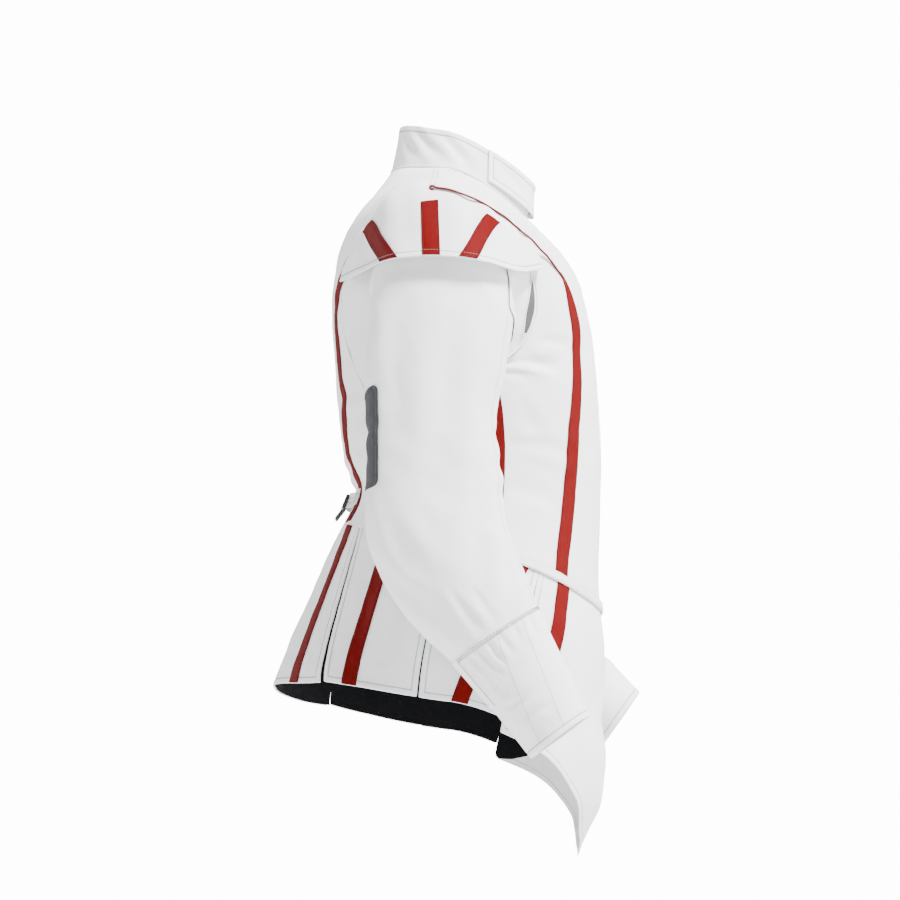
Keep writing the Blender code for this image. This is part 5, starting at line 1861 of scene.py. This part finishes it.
@dataclass(frozen=True)
class Wings:
    """The shoulder wings: flush with the shoulder at their seam, free below, with three red strips each."""

    kit: Kit
    # Inner edge on the body, armhole edge on the body, middle and lower edge of the free part.
    lines: tuple = (
        (44.0, 2.30, 41.5, 2.65, (-0.127, 0.1110, -0.142), (-0.126, 0.1150, -0.161)),
        (51.0, 1.95, 52.0, 2.28, (-0.186, 0.0900, -0.112), (-0.206, 0.0870, -0.163)),
        (66.0, 1.50, 68.0, 2.02, (-0.246, 0.0520, -0.078), (-0.275, 0.0500, -0.160)),
        (90.0, 1.35, 90.0, 1.94, (-0.258, -0.0060, -0.067), (-0.295, -0.0080, -0.159)),
        (100.0, 1.72, 105.0, 2.02, (-0.252, -0.0560, -0.083), (-0.285, -0.0640, -0.165)),
        (108.0, 1.98, 114.5, 2.26, (-0.220, -0.1030, -0.114), (-0.244, -0.1045, -0.169)),
        (117.5, 2.20, 121.5, 2.45, (-0.168, -0.1300, -0.137), (-0.174, -0.1340, -0.153)),
    )
    lift: float = 0.0042
    along: int = 18
    # Place along the wing and down it of each strip's two sides, from its upper end to its lower one.
    strips: tuple = (
        ("back", ((3.267, 4.117, 4.433, 4.300), (4.000, 5.050, 5.200, 5.100), (4.600, 5.617, 5.900, 5.600),
                  (5.067, 5.985, 6.452, 5.985))),
        ("middle", ((7.928, 4.586, 8.968, 4.546), (7.951, 5.985, 9.005, 5.985))),
        ("front", ((12.380, 4.506, 13.356, 4.517), (10.159, 5.985, 11.299, 5.985))),
    )
    shoulder_seams: tuple = (8.50, 8.80)
    # The red cord that runs on from the front ribbon, over the wing to the shoulder seam.
    cord: tuple = (
        (-0.2612, -0.0007, -0.0723), (-0.2604, 0.0031, -0.0717), (-0.2596, 0.0039, -0.0683),
        (-0.26, 0.0005, -0.0677), (-0.2614, -0.0043, -0.0701), (-0.2628, -0.0188, -0.0727),
        (-0.2616, -0.0381, -0.0792), (-0.2552, -0.0574, -0.0866), (-0.2438, -0.0791, -0.0979),
        (-0.2378, -0.0865, -0.1016), (-0.2328, -0.0925, -0.1056), (-0.2294, -0.0974, -0.1099),
        (-0.2236, -0.1023, -0.1125), (-0.2198, -0.106, -0.1155), (-0.207, -0.1123, -0.118),
        (-0.1925, -0.1174, -0.119), (-0.179, -0.1225, -0.1215), (-0.165, -0.1312, -0.1288),
        (-0.155, -0.1388, -0.1344), (-0.142, -0.15, -0.147), (-0.1322, -0.1576, -0.1565),
        (-0.1286, -0.1613, -0.1658),
    )
    # Place along the wing and share down it of each fold's line, then its half width and depth.
    folds: tuple = (
        (((3.2, 0.45), (3.4, 0.7), (3.6, 0.96)), 0.0100, 0.0014),
        (((6.6, 0.40), (6.8, 0.7), (6.9, 0.97)), 0.0120, 0.0016),
        (((11.2, 0.45), (11.3, 0.7), (11.5, 0.97)), 0.0110, 0.0016),
        (((15.2, 0.5), (15.3, 0.7), (15.6, 0.97)), 0.0090, 0.0014),
    )

    def point(self, along: Points, down: float | Points) -> Points:
        """Points of the wing.

        Args:
            along: Places from its back end (0) to its front end (18).
            down: 0 at the seam, 2 at the armhole's edge, 6 at the lower edge, one for all or one a place.

        Returns:
            One point a place.
        """
        body = self.kit.body
        place = np.asarray(along, float) / self.along * (len(self.lines) - 1)
        down = np.broadcast_to(np.asarray(down, float), place.shape)
        inner, edge, middle, lower = (
            through(np.array([line[part] for line in self.lines]), place)
            for part in (slice(0, 2), slice(2, 4), 4, 5)
        )
        turns, steps = (inner + (edge - inner) * np.minimum(down / 2.0, 1.0)[:, None]).T
        lift = 0.0007 + (self.lift - 0.0007) * smooth_step(0.0, 1.0, down)
        made = body.points(turns, steps) + body.normals(turns, steps) * lift[:, None]
        return through_each(np.array([made, middle, lower]), np.maximum(down - 2.0, 0.0) / 2.0)

    def strip_lines(self, sides: tuple) -> list[Points]:
        """Close-set rows of a strip between its two sides."""
        rows = []
        for along, down, end_along, end_down in through(np.array(sides), np.linspace(0.0, len(sides) - 1.0, 50)):
            rows.append(self.point(np.linspace(along, end_along, 40), np.linspace(down, end_down, 40)))
        return rows

    def relief(self, side: Side) -> Relief:
        """The wing's soft waves."""
        made = []
        for index, (line, width, depth) in enumerate(self.folds):
            moved = 0.0 if side is Side.RIGHT else 0.4 * math.sin(2.0 * index + 1.0)
            points = tuple(tuple(self.point(np.array([a + moved]), 6.0 * d)[0]) for a, d in line)
            made.append(Fold(points, width, depth))
        return Relief(tuple(made), swell=0.0006)

    def build(self) -> None:
        """Builds both wings, their strips and their sewing."""
        kit = self.kit
        hems = Hems(bottom=True)
        strip_hems = Hems(bottom=True, proud=0.0, groove=0.0002)
        lines = [self.point(np.linspace(0.0, self.along, MAKING.samples), float(down)) for down in np.linspace(0.0, 6.0, 70)]
        grid = grid_from(lines, hems, 40, 96)
        sewing: list[Points] = []
        red_sewing: list[Points] = []
        for side in Side:
            relief = self.relief(side)
            placed = hems.on(relief.on(grid))
            share = np.clip(np.arange(len(placed)) / len(placed) / 0.16, 0.0, 1.0)
            walls = 0.0004 + (MAKING.cloth - 0.0004) * share[:, None, None]
            if side is Side.LEFT:
                placed = mirrored(placed)
            made = cloth_object(f"wing_cloth_{side.value}", placed, walls, hems)
            dressed(made, kit.finish.white, [f"wing_{side.value}"])
            sewing.append(row_on(placed, -1 - STITCH_ROW, 0.0002, 2))
            for along in self.shoulder_seams:
                seam = np.stack([self.point(np.full(60, along + off), np.linspace(0.3, 4.0, 60)) for off in (0.0, 0.05)], axis=1)
                sewing.append((relief.on(seam, 0.0003) * (1.0 if side is Side.RIGHT else MIRROR))[:, 0])
            for name, sides in self.strips:
                strip = relief.on(grid_from(self.strip_lines(sides), strip_hems, 20, 6), MAKING.ribbon_rise + 0.0003)
                if side is Side.LEFT:
                    strip = mirrored(strip)
                Piece(f"wing_ribbon_{name}_{side.value}", strip, strip_hems, MAKING.ribbon).made(
                    kit.finish.ribbon, Slot.RED, [f"wing_strip_{name}_{side.value}"], sheet=False)
                sewing.append(row_on(strip, -1 - STITCH_ROW, 0.0003))
                red_sewing += beside_edges(strip, 0.0016, 0.0001)
        cord = through(np.array(self.cord), np.linspace(0.0, len(self.cord) - 1.0, 180))
        from_lines("shoulder_cord", [cord, cord * MIRROR], kit.trees.piping, kit.finish.red_cord, Slot.RED, Radius=0.0014)
        from_lines("sewing_wings", sewing, kit.trees.stitches, kit.finish.thread, Slot.WHITE,
                   Pitch=0.0032, Length=0.0024, Thickness=0.0008)
        from_lines("sewing_wing_ribbons", red_sewing, kit.trees.stitches, kit.finish.red_thread, Slot.RED,
                   Pitch=0.0028, Length=0.0021, Thickness=0.00045)


@dataclass(frozen=True)
class Collar:
    """The standing collar, the throat flap over its ends, and the rolled piping at its foot."""

    kit: Kit
    foot: tuple = (0.0525, 0.0000, 0.072, -0.020, -0.008, -0.117, -0.062)
    top: tuple = (0.0430, 0.0560, 0.064, -0.015, 0.041, -0.125, -0.018)
    rise: float = 0.0012
    end_turn: float = 171.0
    flap_from: float = 119.0
    flap_shares: tuple = (1.0, 0.12)
    flap_off: float = 0.0045
    # Angle and share up of each fold's line, then its half width and depth.
    folds: tuple = (
        (((52, 0.88), (66, 0.55), (84, 0.20)), 0.0060, 0.0026),
        (((84, 0.86), (96, 0.52), (108, 0.18)), 0.0060, 0.0024),
        (((30, 0.80), (40, 0.50), (54, 0.22)), 0.0060, 0.0018),
        (((-50, 0.85), (-68, 0.50), (-88, 0.22)), 0.0065, 0.0013),
        (((-92, 0.82), (-104, 0.50), (-112, 0.20)), 0.0060, 0.0011),
        (((128, 0.75), (146, 0.55), (166, 0.45)), 0.0060, 0.0009),
    )

    def ring(self, turns: Points, sizes: tuple) -> Points:
        """Points of one collar ring on both sides of the body."""
        back_y, back_z, side_x, side_y, side_z, front_y, front_z = sizes
        turn = np.abs(turns)
        flat = oval(turn, back_y, side_x, side_y, front_y, 2.0)
        flat[:, 0] *= np.where(turns < 0.0, -1.0, 1.0)
        return np.concatenate([flat, level_round(turn, back_z, side_z, front_z)[:, None]], axis=1)

    def line(self, turns: Points, share: float) -> Points:
        """Points of the collar at a share of the way from its foot to its top edge."""
        foot = self.ring(turns, self.foot) + np.array((0.0, 0.0, self.rise))
        return foot + (self.ring(turns, self.top) - foot) * share

    def relief(self) -> Relief:
        """The collar's soft diagonal creases."""
        made = tuple(
            Fold(tuple(tuple(self.line(np.array([float(turn)]), share)[0]) for turn, share in line), width, depth)
            for line, width, depth in self.folds
        )
        return Relief(made, swell=0.0005)

    def flap_line(self, turns: Points, share: float) -> Points:
        """Points of the collar's form at angles that run past the middle of the front."""
        return self.line(np.where(turns <= 180.0, turns, turns - 360.0), share)

    def build(self) -> None:
        """Builds the collar, its flap and their sewing."""
        kit, relief = self.kit, self.relief()
        hems = Hems(top=True, start=True, end=True, proud=0.0003)
        turns = np.linspace(-self.end_turn, self.end_turn, 3 * MAKING.samples)
        lines = [self.line(turns, float(share)) for share in np.linspace(1.0, 0.0, 40)]
        collar = hems.on(relief.on(grid_from(lines, hems, 12, 150)))
        Piece("collar_cloth", collar, hems, MAKING.collar_cloth).made(kit.finish.collar, Slot.WHITE, ["collar"])
        sewing = [row_on(collar, STITCH_ROW, 0.0002, STITCH_ROW)]
        all_round = Hems(top=True, bottom=True, start=True, end=True, proud=0.0004)
        turns = np.linspace(self.flap_from, 360.0 - self.flap_from, MAKING.samples)
        lines = [self.flap_line(turns, float(share)) for share in np.linspace(*self.flap_shares, 40)]
        flap = self.lifted(grid_from(lines, all_round, 12, 66), relief, MAKING.cloth + 0.0008, self.flap_off)
        flap = all_round.on(flap)
        Piece("throat_flap", flap, all_round).made(kit.finish.collar, Slot.WHITE, ["collar_flap"])
        sewing += [row_on(flap, STITCH_ROW, 0.0002, STITCH_ROW), row_on(flap, -1 - STITCH_ROW, 0.0002, STITCH_ROW)]
        sewing += [column_on(flap, column, 0.0002, STITCH_ROW) for column in (STITCH_ROW, -1 - STITCH_ROW)]
        from_lines("sewing_collar", sewing, kit.trees.stitches, kit.finish.thread, Slot.WHITE,
                   Pitch=0.0031, Length=0.0022, Thickness=0.0008)
        foot = self.line(np.linspace(-168.0, 168.0, 200), 0.0)
        out = unit(foot - np.array((0.0, -0.035, 0.0))) * np.array((1.0, 1.0, 0.0))
        from_lines("collar_piping", [foot + out * 0.0010 - np.array((0.0, 0.0, 0.0004))], kit.trees.piping,
                   kit.finish.band, Slot.WHITE, Radius=0.0013)

    @staticmethod
    def lifted(grid: Points, relief: Relief, plain: float, off: float) -> Points:
        """The flap raised over the collar: close at its sides, standing off at its lower edge."""
        down = np.linspace(0.0, 1.0, grid.shape[0])[:, None]
        across = np.linspace(0.0, math.pi, grid.shape[1])[None, :]
        lift = plain + off * down**2 * np.sin(across)
        return grid + grid_normals(grid) * (relief.heights(grid) + lift)[..., None]


@dataclass(frozen=True)
class Closures:
    """The waist buckle with its webbing, and the zip's slider."""

    kit: Kit
    buckle_at: tuple = (0.0, 0.1127, -0.4260)
    buckle_lean: float = 22.0
    buckle_size: tuple = (0.032, 0.0044, 0.034)
    bar: float = 0.0042
    lever_lean: float = 38.0
    strap_middle: float = -0.4200
    strap_half: float = 0.0100
    strap_turn: float = 21.0
    slider_step: float = 0.45
    slider_size: tuple = (0.009, 0.0026, 0.016)
    slider_off: float = 0.0016

    @staticmethod
    def block(size: tuple, at: tuple, lean: float, rounding: float, taper: float = 1.0) -> tuple[Points, list]:
        """A block with rounded edges.

        Args:
            size: Its three sides.
            at: Its middle.
            lean: Degrees it is turned about the X axis.
            rounding: Radius of its edges.
            taper: Width of its lower end as a share of its upper end.

        Returns:
            Its points and faces.
        """
        work = bmesh.new()
        bmesh.ops.create_cube(work, size=1.0)
        for vertex in work.verts:
            narrow = taper if vertex.co.z < 0 else 1.0
            vertex.co = Vector((vertex.co.x * size[0] * narrow, vertex.co.y * size[1], vertex.co.z * size[2]))
        bmesh.ops.bevel(work, geom=list(work.edges), offset=rounding, segments=3, affect="EDGES", profile=0.5)
        angle = math.radians(lean)
        for vertex in work.verts:
            x, y, z = vertex.co
            vertex.co = Vector((
                at[0] + x,
                at[1] + y * math.cos(angle) - z * math.sin(angle),
                at[2] + y * math.sin(angle) + z * math.cos(angle),
            ))
        bmesh.ops.recalc_face_normals(work, faces=list(work.faces))
        work.verts.index_update()
        points = np.array([vertex.co[:] for vertex in work.verts])
        faces = [[vertex.index for vertex in face.verts] for face in work.faces]
        work.free()
        return points, faces

    @staticmethod
    def joined(parts: Sequence[tuple[Points, list]]) -> tuple[Points, list]:
        """Several sets of points and faces as one."""
        points, faces, base = [], [], 0
        for some, their in parts:
            points.append(some)
            faces += [[base + index for index in face] for face in their]
            base += len(some)
        return np.concatenate(points), faces

    def on_buckle(self, x: float, out: float, up: float) -> tuple[float, float, float]:
        """Place on the leaning buckle from its middle."""
        angle = math.radians(self.buckle_lean)
        return (
            self.buckle_at[0] + x,
            self.buckle_at[1] + out * math.cos(angle) - up * math.sin(angle),
            self.buckle_at[2] + out * math.sin(angle) + up * math.cos(angle),
        )

    def build(self) -> None:
        """Builds the buckle, its strap and the slider."""
        self.build_buckle()
        self.build_strap()
        self.build_slider()

    def build_buckle(self) -> None:
        """A moulded ladder buckle: frame, bars, a steel pin and a lever that stands off below it."""
        kit = self.kit
        wide, deep, tall = self.buckle_size
        lean, bar = self.buckle_lean, self.bar
        parts = []
        for side in (-1.0, 1.0):
            parts.append(self.block((bar, deep, tall * 0.62), self.on_buckle(side * (wide - bar) / 2, 0.0, tall * 0.19), lean, 0.0012))
        for up in (0.5 * tall - bar / 2, 0.22 * tall, -0.06 * tall):
            parts.append(self.block((wide - bar, deep * 0.82, bar * 0.9), self.on_buckle(0.0, 0.0, up), lean, 0.0012))
        low = self.on_buckle(0.0, 0.0005, -0.29 * tall)
        swung = math.radians(self.lever_lean)
        parts.append(self.block((wide * 0.86, 0.0034, tall * 0.44), (low[0], low[1] + 0.0012, low[2]), self.lever_lean, 0.0011, 0.82))
        for step in range(4):
            off = (step - 1.5) * 0.0026
            at = (0.0, low[1] + 0.0012 + 0.0020 * math.cos(swung) - off * math.sin(swung), low[2] + 0.0020 * math.sin(swung) + off * math.cos(swung))
            parts.append(self.block((wide * 0.56, 0.0008, 0.0011), at, self.lever_lean, 0.0003))
        points, faces = self.joined(parts)
        dressed(mesh_object("waist_buckle", points, faces), kit.finish.buckle, ["back_buckle"])
        pin = np.array([self.on_buckle(x, 0.0004, -0.085 * tall) for x in np.linspace(-0.0172, 0.0172, 12)])
        from_lines("buckle_pin", [pin], kit.trees.piping, kit.finish.steel, Slot.BUCKLE, Radius=0.0011)

    def build_strap(self) -> None:
        """The webbing across the back, rising to pass through the buckle."""
        kit = self.kit
        turns = np.linspace(-self.strap_turn, self.strap_turn, 141)
        lines = []
        for height in np.linspace(self.strap_middle + self.strap_half, self.strap_middle - self.strap_half, 14):
            line = kit.body.at_level(np.abs(turns), np.full(len(turns), height))
            line[:, 0] *= np.where(turns < 0, -1.0, 1.0)
            lines.append(line)
        hems = Hems(top=True, bottom=True, proud=0.0, groove=0.0003)
        grid = grid_from(lines, hems, 6, 90)
        rise = 0.0030 + 0.0062 * smooth_step(-0.030, -0.012, -np.abs(grid[..., 0]))
        grid = grid + grid_normals(grid) * rise[..., None]
        Piece("waist_webbing", grid, hems, 0.0012).made(kit.finish.strap, Slot.WHITE, ["back_strap"], sheet=False)
        boxes = [column_on(grid, column, 0.0003, 2) for column in (6, 12, -7, -13)]
        from_lines("sewing_webbing", boxes, kit.trees.stitches, kit.finish.thread, Slot.WHITE,
                   Pitch=0.0026, Length=0.0020, Thickness=0.0008)

    def build_slider(self) -> None:
        """The zip's slider: two plates, a bridge and a hanging pull tab. It stays closed at the top, as shown."""
        kit = self.kit
        ends = kit.body.points(np.array([180.0, 180.0, 180.0]), np.array([self.slider_step - 0.05, self.slider_step, self.slider_step + 0.05]))
        down = ends[2] - ends[0]
        outward = np.array((0.0, down[2], -down[1])) / np.linalg.norm(down)
        lean = math.degrees(math.atan2(down[1], -down[2]))
        wide, deep, tall = self.slider_size
        middle = ends[1] + outward * (self.slider_off + deep / 2)
        along = unit(down)
        parts = [
            self.block((wide, deep * 0.42, tall), tuple(middle - outward * deep * 0.28), lean, 0.0005, 0.72),
            self.block((wide * 0.9, deep * 0.36, tall * 0.9), tuple(middle + outward * deep * 0.22), lean, 0.0004, 0.72),
            self.block((wide * 0.30, deep * 0.9, tall * 0.55), tuple(middle + outward * deep * 0.30), lean, 0.0006),
            self.block((wide * 0.62, 0.0011, tall * 1.1), tuple(middle + outward * deep * 0.85 + along * tall * 0.55), lean, 0.0004, 1.15),
        ]
        points, faces = self.joined(parts)
        dressed(mesh_object("zip_pull", points, faces), kit.finish.steel, ["zip_slider"])


@dataclass(frozen=True)
class Studio:
    """Plain pale floor, soft light and the camera at the photograph's viewing angle."""

    azimuth: float = 270.0
    elevation: float = -8.0
    distance: float = 6.0
    lens: float = 192.0
    target: tuple = (0.0, -0.020, -0.3525)
    floor_level: float = -1.32
    # Place, side and power of each light.
    lights: tuple = (
        ("key", (-2.0, -1.9, 3.9), 1.1, 1250.0),
        ("fill", (-3.6, 1.2, 0.2), 2.6, 42.0),
        ("front", (0.6, -4.2, 0.6), 2.0, 260.0),
        ("rear", (1.6, 4.0, 1.2), 2.0, 170.0),
    )
    room: float = 0.32
    backdrop: float = 14.0

    def build(self) -> None:
        """Builds the floor, the lights and the camera."""
        mesh = bpy.data.meshes.new("floor")
        reach = 60.0
        corners = [(x * reach, y * reach, self.floor_level) for x, y in ((-1, -1), (1, -1), (1, 1), (-1, 1))]
        mesh.from_pydata(corners, [], [(0, 1, 2, 3)])
        floor = bpy.data.objects.new("floor", mesh)
        bpy.context.scene.collection.objects.link(floor)
        pale, _, shader = plain_material("Pale floor")
        shader.inputs["Base Color"].default_value = (0.90, 0.90, 0.90, 1.0)
        shader.inputs["Roughness"].default_value = 0.9
        floor.data.materials.append(pale)
        for name, at, size, power in self.lights:
            self.light(name, at, size, power)
        bpy.context.scene.world = self.world()
        camera = bpy.data.objects.new("camera", bpy.data.cameras.new("camera"))
        bpy.context.scene.collection.objects.link(camera)
        camera.data.lens = self.lens
        camera.data.sensor_width = 36.0
        camera.data.clip_end = 60.0
        turn, up = math.radians(self.azimuth), math.radians(self.elevation)
        back = Vector((math.sin(turn) * math.cos(up), -math.cos(turn) * math.cos(up), math.sin(up)))
        camera.location = Vector(self.target) + back * self.distance
        camera.rotation_euler = (-back).to_track_quat("-Z", "Y").to_euler()
        bpy.context.scene.camera = camera

    def world(self) -> bpy.types.World:
        """Soft even room light in front of a white backdrop."""
        made = bpy.data.worlds.new("studio")
        made.use_nodes = True
        sheet = NodeSheet(made.node_tree)
        seen = sheet.add("ShaderNodeLightPath").outputs["Is Camera Ray"]
        strength = sheet.math("ADD", self.room, sheet.math("MULTIPLY", seen, self.backdrop))
        sheet.feed(made.node_tree.nodes["Background"].inputs["Strength"], strength)
        made.node_tree.nodes["Background"].inputs["Color"].default_value = (1.0, 1.0, 1.0, 1.0)
        return made

    def light(self, name: str, at: tuple, size: float, power: float) -> None:
        """Adds one soft square light that faces the jacket."""
        data = bpy.data.lights.new(name, "AREA")
        data.size = size
        data.energy = power
        made = bpy.data.objects.new(name, data)
        made.location = at
        made.rotation_euler = (Vector(self.target) - Vector(at)).to_track_quat("-Z", "Y").to_euler()
        bpy.context.scene.collection.objects.link(made)


def main() -> None:
    """Builds the jacket, sub-assembly by sub-assembly, then the studio."""
    logging.basicConfig(level=logging.INFO, format="%(message)s")
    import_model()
    body = BodyForm()
    kit = Kit(body, ArmForm(body), Finishes(), Trees())
    for assembly in (BodyPanels(kit), SkirtPanels(kit), Arms(kit), Wings(kit), Collar(kit), Closures(kit)):
        LOG.info("Building %s", type(assembly).__name__)
        assembly.build()
    Studio().build()


if __name__ == "__main__":
    main()
